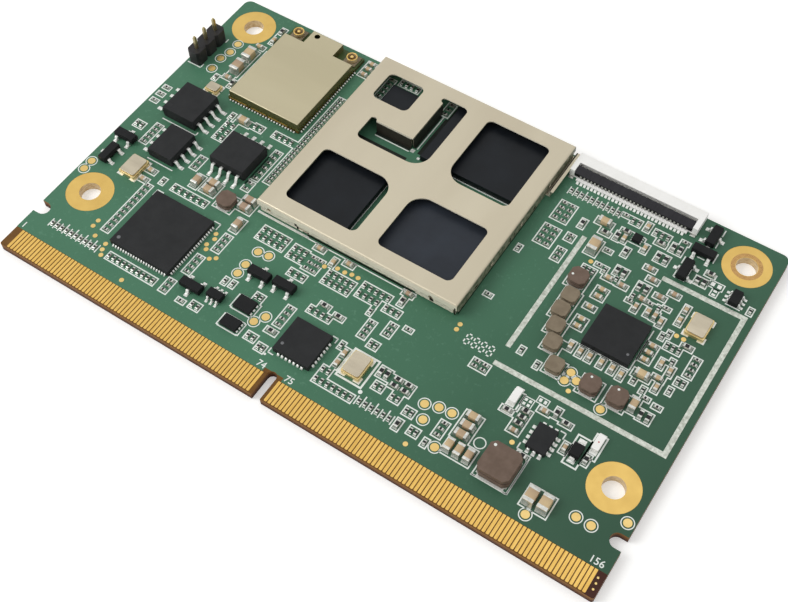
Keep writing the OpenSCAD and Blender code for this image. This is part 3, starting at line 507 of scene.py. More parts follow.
def settle(piece: Object, finish: Finish, body: str = MODULE, replaced: Iterable[str] = ()) -> None:
    """Gives a finished piece its material and body, and hides the CAD nodes it stands for.

    Args:
        piece: Object at the origin with its place in its mesh.
        finish: Finish of the piece.
        body: Body it moves with.
        replaced: CAD nodes that it stands for.
    """
    piece.data.materials.clear()
    piece.data.materials.append(material(finish))
    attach(piece, body)
    if replaced:
        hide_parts(*replaced)
    LOG.info("%s: %d faces", piece.name, len(piece.data.polygons))


class Sketch:
    """Collects prisms on the board in millimetres from the corner at contact 1."""

    def __init__(self, base_mm: float = BOARD_TOP_MM) -> None:
        """Starts an empty sketch whose heights count from base_mm over the underside."""
        self.base = base_mm
        self.verts: list[Triple] = []
        self.faces: list[tuple[int, ...]] = []

    def prism(self, outline: Sequence[Place], low: float, high: float) -> None:
        """Adds a closed prism over an anticlockwise outline."""
        start, count = len(self.verts), len(outline)
        for z in (low, high):
            self.verts += [(x, y, z) for x, y in outline]
        self.faces.append(tuple(range(start + count, start + 2 * count)))
        self.faces.append(tuple(range(start + count - 1, start - 1, -1)))
        for i in range(count):
            j = (i + 1) % count
            self.faces.append((start + i, start + j, start + count + j, start + count + i))

    def bar(self, x0: float, y0: float, x1: float, y1: float, high: float, low: float = 0.0) -> None:
        """Adds an upright rectangular prism between two corners."""
        self.prism([(x0, y0), (x1, y0), (x1, y1), (x0, y1)], low, high)

    def stroke(self, start: Place, end: Place, width: float, high: float) -> None:
        """Adds a straight stroke of a given width between two places."""
        a, b = np.array(start), np.array(end)
        along = b - a
        side = np.array([-along[1], along[0]]) / max(np.hypot(*along), 1e-9) * width / 2
        self.prism([(float(x), float(y)) for x, y in (a - side, b - side, b + side, a + side)], 0.0, high)

    def frame(self, x0: float, y0: float, x1: float, y1: float, width: float, high: float) -> None:
        """Adds a rectangular frame whose lines run along the given rectangle."""
        w = width / 2
        self.bar(x0 - w, y0 - w, x1 + w, y0 + w, high)
        self.bar(x0 - w, y1 - w, x1 + w, y1 + w, high)
        self.bar(x0 - w, y0 + w, x0 + w, y1 - w, high)
        self.bar(x1 - w, y0 + w, x1 + w, y1 - w, high)

    def ring(
        self,
        centre: Place,
        inner: float,
        outer: float,
        high: float,
        parts: int = 40,
        low: float = 0.0,
    ) -> None:
        """Adds a flat ring, or a disc where inner is 0.

        Args:
            centre: Place of the middle.
            inner: Radius of the bore.
            outer: Radius of the rim.
            high: Height of the upper side.
            parts: Number of straight parts round it.
            low: Height of the lower side.
        """
        angles = [2 * math.pi * i / parts for i in range(parts)]
        rim, bore = (
            [(centre[0] + radius * math.cos(a), centre[1] + radius * math.sin(a)) for a in angles]
            for radius in (outer, inner)
        )
        if inner <= 0:
            self.prism(rim, low, high)
            return
        start = len(self.verts)
        loops = ((low, rim), (high, rim), (high, bore), (low, bore))
        for z, loop in loops:
            self.verts += [(x, y, z) for x, y in loop]
        for i in range(parts):
            j = (i + 1) % parts
            for row in range(len(loops)):
                a, b = start + row * parts, start + (row + 1) % len(loops) * parts
                self.faces.append((a + i, a + j, b + j, b + i))

    def piece(self, name: str) -> Object:
        """Makes the sketch an object in the part's frame and returns it."""
        left, front, _ = BOARD_LOW
        mesh = bpy.data.meshes.new(name)
        placed = [(x * MM + left, y * MM + front, (z + self.base) * MM) for x, y, z in self.verts]
        mesh.from_pydata(placed, [], self.faces)
        mesh.validate()
        return link(mesh, name)


@dataclass
class Scatter:
    """A Geometry Nodes tree that sets one shape on marked points."""

    turn: str = "turn"

    def tree(self) -> bpy.types.NodeTree:
        """Builds the tree with the inputs Shape and Finish, and returns it."""
        made = bpy.data.node_groups.new("set_on_points", "GeometryNodeTree")
        for name, way, kind in (
            ("Geometry", "INPUT", "NodeSocketGeometry"),
            ("Shape", "INPUT", "NodeSocketObject"),
            ("Finish", "INPUT", "NodeSocketMaterial"),
            ("Geometry", "OUTPUT", "NodeSocketGeometry"),
        ):
            made.interface.new_socket(name, in_out=way, socket_type=kind)
        entry, shape, turn, euler, spin, place, real, paint, leave = (
            made.nodes.new(kind)
            for kind in (
                "NodeGroupInput", "GeometryNodeObjectInfo", "GeometryNodeInputNamedAttribute",
                "ShaderNodeCombineXYZ", "FunctionNodeEulerToRotation",
                "GeometryNodeInstanceOnPoints", "GeometryNodeRealizeInstances",
                "GeometryNodeSetMaterial", "NodeGroupOutput",
            )
        )
        shape.inputs["As Instance"].default_value = True
        turn.data_type = "FLOAT"
        turn.inputs["Name"].default_value = self.turn
        for source, target in (
            (entry.outputs["Shape"], shape.inputs["Object"]),
            (turn.outputs["Attribute"], euler.inputs["Z"]),
            (euler.outputs[0], spin.inputs[0]),
            (entry.outputs["Geometry"], place.inputs["Points"]),
            (shape.outputs["Geometry"], place.inputs["Instance"]),
            (spin.outputs[0], place.inputs["Rotation"]),
            (place.outputs[0], real.inputs[0]),
            (real.outputs[0], paint.inputs["Geometry"]),
            (entry.outputs["Finish"], paint.inputs["Material"]),
            (paint.outputs[0], leave.inputs[0]),
        ):
            made.links.new(source, target)
        return made

    def run(
        self,
        name: str,
        shape: Mesh,
        finish: Finish,
        points: Sequence[Sequence[float]],
        turns: Sequence[float],
    ) -> Mesh:
        """Sets the shape on each point.

        Args:
            name: Name of the result.
            shape: Mesh that is repeated.
            finish: Finish of the result.
            points: Places in metres.
            turns: Turn about z of each place, in radians.

        Returns:
            One plain mesh with every copy.
        """
        mesh = bpy.data.meshes.new(name + "_points")
        mesh.from_pydata([tuple(p) for p in points], [], [])
        turned = mesh.attributes.new(self.turn, "FLOAT", "POINT")
        turned.data.foreach_set("value", [float(t) for t in turns])
        carrier, pattern = link(mesh, name + "_points"), link(shape, name + "_shape")
        tree = self.tree()
        modifier = carrier.modifiers.new("set", "NODES")
        modifier.node_group = tree
        values = {"Shape": pattern, "Finish": material(finish)}
        for socket in tree.interface.items_tree:
            if socket.in_out == "INPUT" and socket.name in values:
                modifier[socket.identifier] = values[socket.name]
        result = evaluated(carrier)
        carrier.modifiers.clear()
        for helper in (carrier, pattern):
            bpy.data.objects.remove(helper)
        result.name = name
        return result


def joined(name: str, meshes: Sequence[Mesh]) -> Object:
    """Joins plain meshes of the part's frame into one object and returns it."""
    whole = bmesh.new()
    for mesh in meshes:
        whole.from_mesh(mesh)
    return link(baked(whole, name), name)


@dataclass
class SoftEdges:
    """Dresses a CAD node with a copy whose edges are rounded."""

    node: str
    finish: Finish
    radius_mm: float
    segments: int = 2
    body: str = MODULE
    flat_deg: float = 1.0
    sharp_deg: float = 28.0
    shade_deg: float = 60.0

    def rounded(self) -> Mesh:
        """Merges a copy of the node, rounds its edges and returns the mesh."""
        solid = merged(self.node)
        flat, limit = math.radians(self.flat_deg), math.radians(self.sharp_deg)
        bmesh.ops.dissolve_limit(solid, angle_limit=flat, verts=solid.verts, edges=solid.edges)
        self.shape(solid)
        sharp = [e for e in solid.edges if e.is_manifold and e.calc_face_angle(0.0) > limit]
        round_edges(solid, sharp, self.radius_mm, self.segments)
        return baked(solid, self.node + "_dressed")

    def shape(self, solid: bmesh.types.BMesh) -> None:
        """Changes the merged solid before its edges are rounded; plain nodes need nothing."""

    def dress(self) -> None:
        """Builds the dressed piece."""
        piece = link(self.rounded(), self.node + "_dressed")
        even_shading(piece.data, self.shade_deg)
        piece.modifiers.new("weigh", "WEIGHTED_NORMAL").keep_sharp = True
        mesh = evaluated(piece)
        piece.modifiers.clear()
        piece.data = mesh
        settle(piece, self.finish, self.body, [self.node])


@dataclass
class FoldedSheet(SoftEdges):
    """A folded sheet part: the folds between top and walls are rounded wider than the cut edges."""

    fold_mm: float = 0.25
    fold_segments: int = 5
    fold_angle: float = 1.0

    def shape(self, solid: bmesh.types.BMesh) -> None:
        """Rounds the outer folds along the top face.

        Args:
            solid: Merged solid of the sheet.
        """
        low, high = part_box(self.node)

        def on_rim(vert: bmesh.types.BMVert) -> bool:
            """Tells whether a corner lies on the rim of the top face."""
            gaps = [abs(vert.co[axis] - end[axis]) for axis in (0, 1) for end in (low, high)]
            return abs(vert.co.z - high.z) < TOUCH_M and min(gaps) < TOUCH_M

        rim = [e for e in solid.edges if all(on_rim(v) for v in e.verts)]
        folds = [e for e in rim if e.calc_face_angle(0.0) > self.fold_angle]
        round_edges(solid, folds, self.fold_mm, self.fold_segments)


def soften(finish: Finish, radius_mm: float, *nodes: str, segments: int = 2) -> None:
    """Dresses CAD nodes of one finish with copies whose edges are rounded."""
    for node in nodes:
        SoftEdges(node, finish, radius_mm, segments).dress()


@dataclass(frozen=True)
class ChipSize:
    """Sizes of a chip part in millimetres."""

    length: float
    width: float
    height: float
    cap: float
    toe: float


class ChipKind(Enum):
    """How the body of a chip part looks."""

    RESISTOR = "resistor"
    CAPACITOR = "capacitor"


@dataclass
class ChipFamily:
    """Chip parts of two CAD nodes, bodies and end caps, drawn with solder fillets; sizes in millimetres."""

    bodies: str
    ends: str
    kind: ChipKind
    sizes: Sequence[ChipSize]
    body_finish: Finish
    end_finish: Finish
    extras: Sequence[tuple[ChipSize, float, float, bool]] = ()
    places: dict[ChipSize, list[Span]] = field(default_factory=dict)
    inset: float = 0.015
    corner: float = 0.05
    corner_share: float = 0.25
    land: float = 0.02
    climb_share: float = 0.72
    fillet_shares: Triple = (0.62, 0.3, 0.1)
    fillet_power: float = 2.2
    flare: float = 0.04
    shade_deg: float = 50.0

    def find(self) -> list[Box]:
        """Finds every chip from the islands of the CAD nodes, and adds the extra ones on the board.

        Returns:
            The outer box of each chip with its end caps, in metres.
        """
        cores, caps = island_boxes(self.bodies), island_boxes(self.ends)
        middles = np.array([(low + high) / 2 for low, high in caps])
        outer = []
        for low, high in cores:
            centre = (low + high) / 2
            near = np.argsort(((middles - centre) ** 2).sum(1))[:2]
            along = middles[near[1]] - middles[near[0]]
            turned = abs(along[1]) > abs(along[0])
            corners = np.array([caps[i][0] for i in near] + [caps[i][1] for i in near])
            height = (high[2] - low[2]) / MM
            size = min(self.sizes, key=lambda s: abs(s.height - height))
            place = (centre[0], centre[1], low[2], math.pi / 2 if turned else 0.0)
            self.places.setdefault(size, []).append(place)
            outer.append((corners.min(0), corners.max(0)))
        for size, x, y, turned in self.extras:
            spot = np.array((BOARD_LOW[0] + x * MM, BOARD_LOW[1] + y * MM, BOARD_HIGH[2]))
            reach = np.array((size.width, size.length) if turned else (size.length, size.width)) / 2
            self.places.setdefault(size, []).append((*spot, math.pi / 2 if turned else 0.0))
            outer.append((spot - (*reach * MM, 0.0), spot + (*reach * MM, size.height * MM)))
        return outer

    def body_shape(self, size: ChipSize) -> Mesh:
        """Draws the ceramic body between and under the caps, with its coated top marked.

        Args:
            size: Sizes of the chip.

        Returns:
            Mesh about the origin, in metres.
        """
        half, side = size.length / 2 - self.inset, size.width / 2 - self.inset
        top = size.height - self.inset
        shell = bmesh.new()
        bmesh.ops.create_cube(shell, size=1.0)
        stretch = Matrix.Diagonal((2 * half * MM, 2 * side * MM, top * MM, 1.0))
        lift = Matrix.Translation((0, 0, top * MM / 2))
        bmesh.ops.transform(shell, matrix=lift @ stretch, verts=shell.verts)
        round_edges(shell, shell.edges[:], self.inset, 1)
        shell.normal_update()
        coated = self.kind is ChipKind.RESISTOR
        marks = [1.0 if coated and f.normal.z > 0.5 else 0.0 for f in shell.faces]
        mesh = baked(shell, "chip_body")
        mesh.attributes.new("tone", "FLOAT", "FACE").data.foreach_set("value", marks)
        return mesh

    def end_profile(self, size: ChipSize) -> list[Place]:
        """Draws the side view of one end cap with its hollow solder fillet.

        Args:
            size: Sizes of the chip.

        Returns:
            Distance from the chip's middle and height of each corner, in millimetres.
        """
        half, rise = size.length / 2, size.height
        edge = min(self.corner, size.cap * self.corner_share)
        reach, climb = half + size.toe, rise * self.climb_share
        profile = [(half - size.cap, 0.0), (reach, 0.0), (reach, self.land)]
        for share in self.fillet_shares:
            hollow = (climb - self.land) * (1 - share) ** self.fillet_power
            profile.append((half + size.toe * share, self.land + hollow))
        profile += [(half, climb), (half, rise - edge), (half - edge, rise), (half - size.cap, rise)]
        return profile

    def end_shape(self, size: ChipSize) -> Mesh:
        """Draws both end caps with hollow solder fillets on their lands.

        Args:
            size: Sizes of the chip.

        Returns:
            Mesh about the origin, in metres.
        """
        half, side = size.length / 2, size.width / 2
        profile = self.end_profile(size)
        count = len(profile)
        faces: list[tuple[int, ...]] = []
        verts: list[Triple] = []
        for sign in (1, -1):
            start = len(verts)
            for y in (-side, side):
                for x, z in profile:
                    lean = self.flare * max(0.0, (x - half) / size.toe)
                    verts.append((sign * x * MM, (y + math.copysign(lean, y)) * MM, z * MM))
            for i in range(count):
                j = (i + 1) % count
                faces.append((start + i, start + j, start + count + j, start + count + i)[::sign])
            faces.append(tuple(range(start, start + count))[::-sign])
            faces.append(tuple(range(start + count, start + 2 * count))[::sign])
        return turned_out("chip_ends", verts, faces)

    def dress(self) -> None:
        """Sets the detailed chips in place of both CAD nodes."""
        for node, finish, draw in (
            (self.bodies, self.body_finish, self.body_shape),
            (self.ends, self.end_finish, self.end_shape),
        ):
            meshes = []
            for size, places in self.places.items():
                points, turns = [p[:3] for p in places], [p[3] for p in places]
                meshes.append(Scatter().run(f"{node}_{len(meshes)}", draw(size), finish, points, turns))
            piece = joined(node + "_dressed", meshes)
            even_shading(piece.data, self.shade_deg)
            settle(piece, finish, MODULE, [node])


@dataclass
class PrintedInk:
    """White print on the mask: outlines round the parts, rings, frames and contact numbers."""

    finish: Finish
    line_mm: float = 0.16
    ink_mm: float = 0.012
    margin_mm: float = 0.12
    closing_mm: float = 0.2
    cell_mm: float = 0.04
    border_cells: int = 30
    text_mm: float = 0.85
    pad_ring: Place = (0.66, 0.78)
    frames: tuple[tuple[float, float, float, float, float], ...] = (
        (44.95, 7.25, 48.35, 11.25, 0.24), (71.8, 11.6, 73.5, 15.5, 0.2),
        (63.1, 13.5, 64.4, 16.6, 0.2), (73.5, 13.5, 74.8, 16.7, 0.2),
        (64.4, 15.2, 65.7, 16.5, 0.12), (65.8, 16.5, 67.15, 17.35, 0.12),
        (75.2, 41.0, 77.0, 42.0, 0.14), (75.9, 39.85, 76.75, 41.0, 0.14),
    )
    lines: tuple[Span, ...] = (
        (8.2, 36.9, 8.2, 43.4), (31.0, 20.9, 47.0, 20.9), (34.85, 39.9, 34.85, 46.4),
        (28.9, 39.02, 34.1, 39.02), (40.3, 38.45, 49.6, 38.45), (0.3, 36.1, 2.5, 36.1),
        (2.45, 36.1, 2.45, 36.8), (2.45, 41.6, 2.45, 42.3), (68.65, 5.05, 68.65, 9.6),
        (64.2, 5.05, 68.65, 5.05), (72.7, 25.68, 72.7, 31.9), (66.2, 25.68, 72.7, 25.68),
        (11.0, 16.8, 12.0, 16.8), (11.0, 15.8, 11.0, 16.8), (20.0, 16.8, 21.0, 16.8),
        (21.0, 15.8, 21.0, 16.8), (36.75, 5.4, 37.5, 5.4), (36.75, 5.4, 36.75, 6.1),
        (42.55, 10.5, 42.55, 11.2), (41.8, 11.2, 42.55, 11.2), (66.9, 10.4, 66.9, 11.2),
        (66.9, 10.4, 67.6, 10.4), (70.6, 14.0, 70.6, 14.8), (69.9, 14.8, 70.6, 14.8),
        (3.9, 26.35, 9.4, 26.35), (9.4, 26.35, 9.4, 26.9), (6.5, 20.15, 10.6, 20.15),
        (19.6, 23.4, 19.6, 28.7), (34.85, 22.6, 34.85, 33.0), (71.15, 40.0, 72.6, 40.0),
        (71.15, 40.0, 71.15, 41.0), (71.15, 42.2, 71.15, 43.4), (72.6, 41.05, 72.6, 42.1),
        (74.35, 44.2, 74.35, 45.8), (72.3, 44.1, 73.3, 44.1), (73.65, 48.4, 73.65, 49.5),
        (73.65, 46.4, 73.65, 47.4), (78.0, 39.8, 79.9, 39.8),
    )
    combs: tuple[tuple[float, float, float, int], ...] = (
        (3.125, 5.8, 0.75, 11), (48.8, 5.8, 0.8, 7), (54.44, 44.7, 0.72, 11),
    )
    comb_reach: Place = (0.62, 0.95)
    strips: tuple[Span, ...] = (
        (59.1, 20.8, 59.9, 39.5), (59.1, 17.9, 81.2, 18.7), (80.4, 17.9, 81.2, 39.5),
        (70.1, 38.7, 81.2, 39.5),
    )
    blank_code: tuple[float, float, float, int] = (54.85, 18.6, 1.0, 4)
    blank_size: Place = (0.62, 0.7)
    dots: tuple[Triple, ...] = (
        (48.6, 6.85, 0.26), (11.1, 6.9, 0.2), (36.6, 5.0, 0.16), (73.4, 26.0, 0.18),
    )
    dot_parts: int = 24
    rings: tuple[Span, ...] = ((63.2, 8.7, 0.6, 0.74),)
    numbers: tuple[tuple[str, float, float], ...] = (
        ("1", 0.35, 3.35), ("74", 36.5, 3.35), ("75", 40.4, 3.35), ("156", 79.5, 3.35),
    )
    text_scale: float = 1.4
    text_weight_mm: float = 0.01
    text_steps: int = 3
    edge_mm: float = 0.2
    bare_margin: float = 0.06
    comb_margin: Place = (0.2, 0.7)
    blank_gap: Place = (0.14, 0.16)
    ringed_pad: float = 0.85

    def cells(self, low: float, high: float) -> slice:
        """Turns a span in board millimetres into a span of raster cells."""
        a, b = (int(round(v / self.cell_mm)) + self.border_cells for v in (low, high))
        return slice(max(a, 0), max(b, 0))

    def grown(self, grid: np.ndarray, steps: int) -> np.ndarray:
        """Widens the set cells of a raster by some steps, and returns the new raster."""
        for axis in (0, 1):
            source = grid.copy()
            for step in range(1, steps + 1):
                grid = grid | np.roll(source, step, axis) | np.roll(source, -step, axis)
        return grid

    def outlines(self, sketch: Sketch, parts: Sequence[Span], bare: Sequence[Span]) -> None:
        """Prints one shared outline round each group of close parts.

        Args:
            sketch: Sketch that takes the lines.
            parts: Left, front, right and back of each part, in board millimetres.
            bare: Boxes that take no ink, in the same way.
        """
        wide, deep, _ = on_board(BOARD_HIGH)
        grid = np.zeros([int(v / self.cell_mm) + 2 * self.border_cells for v in (deep, wide)], bool)
        m = self.margin_mm
        for x0, y0, x1, y1 in parts:
            grid[self.cells(y0 - m, y1 + m), self.cells(x0 - m, x1 + m)] = True
        steps = int(round(self.closing_mm / self.cell_mm))
        closed = ~self.grown(~self.grown(grid, steps), steps)
        line = self.grown(closed, int(round(self.line_mm / self.cell_mm))) & ~closed
        free = np.zeros_like(line)
        m = self.edge_mm
        free[self.cells(m, deep - m), self.cells(m, wide - m)] = True
        for x0, y0, x1, y1 in bare:
            free[self.cells(y0, y1), self.cells(x0, x1)] = False
        self.bars(sketch, line & free)

    def bars(self, sketch: Sketch, grid: np.ndarray) -> None:
        """Covers the set cells of a raster with few bars."""
        open_runs: dict[tuple[int, int], int] = {}
        for row in range(grid.shape[0] + 1):
            runs: set[tuple[int, int]] = set()
            if row < grid.shape[0] and grid[row].any():
                edge = np.diff(np.concatenate(([0], grid[row].astype(np.int8), [0])))
                runs = set(zip(np.nonzero(edge == 1)[0].tolist(), np.nonzero(edge == -1)[0].tolist()))
            for run in [r for r in open_runs if r not in runs]:
                first = open_runs.pop(run)
                x0, x1, y0, y1 = ((v - self.border_cells) * self.cell_mm for v in (*run, first, row))
                sketch.bar(x0, y0, x1, y1, self.ink_mm)
            for run in runs:
                open_runs.setdefault(run, row)

    def blanks(self, sketch: Sketch) -> None:
        """Prints a row of blank seven-bar figures, where a date would be struck out."""
        left, front, pitch, count = self.blank_code
        wide, tall = self.blank_size
        gap_x, gap_y = self.blank_gap
        for x in (left + i * pitch for i in range(count)):
            for row in range(3):
                y = front + row * tall
                sketch.stroke((x + gap_x, y), (x + wide - gap_x, y), self.line_mm, self.ink_mm)
            for side, row in ((0, 0), (wide, 0), (0, 1), (wide, 1)):
                y = front + row * tall
                ends = (x + side, y + gap_y), (x + side, y + tall - gap_y)
                sketch.stroke(*ends, self.line_mm, self.ink_mm)

    def number(self, text: str, place: Place) -> Mesh:
        """Draws a plain contact number as a mesh on the board.

        Args:
            text: Figures to print.
            place: Left end of its base line, in board millimetres.

        Returns:
            Mesh in the part's frame.
        """
        curve = bpy.data.curves.new("number", "FONT")
        curve.body = text
        curve.size = self.text_mm * MM * self.text_scale
        curve.extrude = self.ink_mm * MM / 2
        curve.offset = self.text_weight_mm * MM
        curve.resolution_u = self.text_steps
        holder = link(curve, "number")
        mesh = evaluated(holder)
        bpy.data.objects.remove(holder)
        x, y = (float(low) + v * MM for low, v in zip(BOARD_LOW, place))
        mesh.transform(Matrix.Translation((x, y, (BOARD_TOP_MM + self.ink_mm / 2) * MM)))
        return mesh

    def comb_lines(self, sketch: Sketch) -> None:
        """Prints the long and short lines between the chips of each row."""
        for left, y, pitch, count in self.combs:
            for i in range(count):
                x, reach = left + i * pitch, self.comb_reach[i % 2]
                sketch.stroke((x, y - self.comb_reach[0]), (x, y + reach), self.line_mm, self.ink_mm)

    def round_marks(self, sketch: Sketch) -> None:
        """Prints dots, rings and a ring round each wide test pad."""
        for x, y, radius in self.dots:
            sketch.ring((x, y), 0.0, radius, self.ink_mm, self.dot_parts)
        for x, y, inner, outer in self.rings:
            sketch.ring((x, y), inner, outer, self.ink_mm)
        for x0, y0, x1, y1 in map(footprint, island_boxes("test_pads")):
            if x1 - x0 > self.ringed_pad:
                sketch.ring(((x0 + x1) / 2, (y0 + y1) / 2), *self.pad_ring, self.ink_mm)

    def dress(self, parts: Sequence[Box]) -> None:
        """Prints everything on the board.

        Args:
            parts: Outer boxes of the parts with an outline, in metres.
        """
        aside, before = self.comb_margin
        rows = [
            (x - aside, y - before, x + pitch * (count - 1) + aside, y + before)
            for x, y, pitch, count in self.combs
        ]

        def in_row(spot: Span) -> bool:
            """Tells whether a part stands in a row with comb lines."""
            x0, y0, x1, y1 = spot
            return any(a < x0 and b < y0 and x1 < c and y1 < d for a, b, c, d in rows)

        sketch = Sketch()
        metal = island_boxes("test_pads", "hole_plating")
        bare = [footprint(box, self.bare_margin) for box in metal] + list(self.strips)
        self.outlines(sketch, [spot for spot in map(footprint, parts) if not in_row(spot)], bare)
        self.comb_lines(sketch)
        for x0, y0, x1, y1, width in self.frames:
            sketch.frame(x0, y0, x1, y1, width, self.ink_mm)
        for x0, y0, x1, y1 in self.lines:
            sketch.stroke((x0, y0), (x1, y1), self.line_mm, self.ink_mm)
        self.blanks(sketch)
        self.round_marks(sketch)
        drawn = sketch.piece("printed_lines")
        figures = [self.number(text, (x, y)) for text, x, y in self.numbers]
        piece = joined("printed_ink", [drawn.data, *figures])
        bpy.data.objects.remove(drawn)
        settle(piece, self.finish)


@dataclass
class Studio:
    """Camera, lights, white world and pale floor."""

    lens_mm: float = 54.41
    sensor_mm: float = 36.0
    clip_m: Place = (0.005, 20.0)
    shift: Place = (-0.02935, -0.0005)
    eye_mm: Triple = (47.954, -67.770, 119.431)
    right: Triple = (0.839442, 0.543433, -0.004333)
    up: Triple = (-0.455595, 0.708061, 0.539521)
    back: Triple = (0.296261, -0.450922, 0.841961)
    world_light: float = 0.62
    floor_half_m: float = 3.0
    floor_level_m: float = -0.00003
    floor_speck_mm: float = 40.0
    floor_colours: tuple[str, str] = ("#F4F4F2", "#F7F7F5")
    floor_lift: float = 0.3
    lamps: tuple[tuple[str, Triple, float, float], ...] = (
        ("key", (-0.34, -0.22, 0.36), 0.3, 1.2),
        ("sheen", (0.02, 0.14, 0.36), 0.15, 0.03),
    )

    def camera(self) -> None:
        """Sets the camera at the fitted viewpoint."""
        data = bpy.data.cameras.new("viewpoint")
        data.lens, data.sensor_width = self.lens_mm, self.sensor_mm
        data.shift_x, data.shift_y = self.shift
        data.clip_start, data.clip_end = self.clip_m
        holder = link(data, "viewpoint")
        axes = Matrix((self.right, self.up, self.back)).transposed().to_4x4()
        holder.matrix_world = Matrix.Translation(Vector(self.eye_mm) * MM) @ axes
        bpy.context.scene.camera = holder

    def seen_directly(self, tree: bpy.types.NodeTree) -> Socket:
        """Adds a light path test that is 1 for camera, glossy and transmission rays.

        Args:
            tree: Node tree of the world or the floor.

        Returns:
            The test's value.
        """
        path = tree.nodes.new("ShaderNodeLightPath")
        value = path.outputs["Is Camera Ray"]
        for name in ("Is Glossy Ray", "Is Transmission Ray"):
            joint = tree.nodes.new("ShaderNodeMath")
            joint.operation = "MAXIMUM"
            tree.links.new(value, joint.inputs[0])
            tree.links.new(path.outputs[name], joint.inputs[1])
            value = joint.outputs[0]
        return value

    def world(self) -> None:
        """Makes an even white world that is dimmer for diffuse light."""
        world = bpy.data.worlds.new("white_room")
        bpy.context.scene.world = world
        world.use_nodes = True
        tree = world.node_tree
        light = tree.nodes["Background"]
        light.inputs["Color"].default_value = (1.0, 1.0, 1.0, 1.0)
        level = tree.nodes.new("ShaderNodeMapRange")
        level.inputs[3].default_value, level.inputs[4].default_value = self.world_light, 1.0
        tree.links.new(self.seen_directly(tree), level.inputs[0])
        tree.links.new(level.outputs[0], light.inputs["Strength"])

    def floor(self) -> None:
        """Lays a pale floor that reads white to the camera and keeps the shadow."""
        shader = Shader("pale_floor")
        shader.fixed(Roughness=0.9, Specular_IOR_Level=0.0, Emission_Color=(1.0, 1.0, 1.0, 1.0))
        speck = shader.spread(shader.noise(self.floor_speck_mm), 0.0, 1.0)
        shader.drive("Base Color", shader.mix(speck, *self.floor_colours))
        lift = shader.maths("MULTIPLY", self.seen_directly(shader.tree), self.floor_lift)
        shader.drive("Emission Strength", lift)
        half, level = self.floor_half_m, self.floor_level_m
        corners = [(x * half, y * half, level) for x, y in ((-1, -1), (1, -1), (1, 1), (-1, 1))]
        mesh = bpy.data.meshes.new("floor")
        mesh.from_pydata(corners, [], [(0, 1, 2, 3)])
        mesh.materials.append(shader.material)
        link(mesh, "floor")

    def lamp(self, name: str, place: Triple, size: float, watts: float) -> None:
        """Hangs a soft square lamp that faces the part."""
        data = bpy.data.lights.new(name, "AREA")
        data.size, data.energy = size, watts
        spot = Vector(place)
        turn = spot.to_track_quat("Z", "Y").to_matrix().to_4x4()
        link(data, name).matrix_world = Matrix.Translation(spot) @ turn

    def build(self) -> None:
        """Sets up the whole studio."""
        bpy.context.scene.view_settings.view_transform = "Standard"
        self.camera()
        self.world()
        self.floor()
        for lamp in self.lamps:
            self.lamp(*lamp)


GOLD = Finish(
    "gold_plating", Slot.GOLD, "#E2C582", "#D8B974",
    metallic=1.0, roughness=0.36, gloss_spread=0.04, patch_mm=2.2, relief_um=0.25,
)
PLATING = SheetFinish(
    "hole_plating", Slot.GOLD, "#DCBA6C", "#D1AE63",
    metallic=1.0, roughness=0.36, gloss_spread=0.04, patch_mm=2.2, relief_um=0.25,
    wall="#E3CDA4", wall_dark="#BFA172", wall_metallic=0.3,
)
EDGE_GOLD = Finish(
    "edge_gold", Slot.GOLD, "#C29A48", "#A98336",
    metallic=0.3, roughness=0.4, gloss_spread=0.06, grain_mm=0.04, relief_um=0.5, specular=0.3,
)
BURNISHED = Finish(
    "burnished_gold", Slot.GOLD, "#C29A62", "#AE8857",
    metallic=1.0, roughness=0.3, patch_mm=0.4, grain_mm=0.04, relief_um=0.6,
)
CONTACT = Finish(
    "contact_gold", Slot.GOLD, "#E6BF6C", "#D6AC59",
    metallic=1.0, roughness=0.36, grain_mm=0.04, relief_um=0.4, stretch=(0.3, 5.0, 1.0),
)
CRYSTAL_BASE = Finish(
    "crystal_base", Slot.GOLD, "#E4CF98", "#D8BE82",
    metallic=0.7, roughness=0.36, gloss_spread=0.05, patch_mm=0.8, relief_um=0.5,
)
SOLDER = Finish(
    "bright_solder", Slot.TIN, "#F0F1ED", "#DADBD5",
    metallic=0.4, roughness=0.34, gloss_spread=0.1, patch_mm=0.3, relief_um=2.0,
)
TIN = Finish(
    "solder_tin", Slot.TIN, "#DADAD4", "#B8B9B3",
    metallic=0.85, roughness=0.36, gloss_spread=0.12, patch_mm=0.4, relief_um=1.5,
)
STRIP = Finish(
    "tinned_strip", Slot.TIN, "#DEE2D8", "#AAAEA2",
    metallic=0.5, roughness=0.42, gloss_spread=0.12, patch_mm=0.35, grain_mm=0.14, relief_um=9.0,
)
# Painted reflection: the shield's right wall takes darker, greenish side colours, as if it mirrored the
# board.
SHEET = SheetFinish(
    "shield_sheet", Slot.SHEET, "#CEC5AE", "#C3B9A2",
    metallic=0.6, roughness=0.45, gloss_spread=0.06, patch_mm=9.0, relief_um=0.5, stretch=(1.0, 4.0, 1.0),
    wall="#F4ECD8", wall_dark="#BFB9AA", band_mm=2.35, side="#979680",
)
CAN = SheetFinish(
    "radio_can_sheet", Slot.SHEET, "#C3BA9C", "#B9B092",
    metallic=0.7, roughness=0.45, gloss_spread=0.06, patch_mm=7.0, relief_um=0.5, stretch=(4.0, 1.0, 1.0),
    wall="#6A6338", wall_dark="#454B26", wall_metallic=0.3,
)
# Painted shade for the insides of slots, holes and gaps in the shield's walls.
PAINTED_SLOT_SHADE = Finish(
    "slot_shade", Slot.SHEET, "#16170F", "#1E1F16", roughness=0.8, gloss_spread=0.05, specular=0.1
)
# Painted shade and shadow: dark plates on the cover's folded tongue and strips on the board round it.
INNER_SHADE = SheetFinish(
    "inner_shade", Slot.SHEET, "#20261F", "#191E19", gloss_spread=0.05, specular=0.2,
    wall="#3B372F", wall_dark="#2E2B25", wall_metallic=0.0, side="#23291F", side_dark="#1A1F18",
)
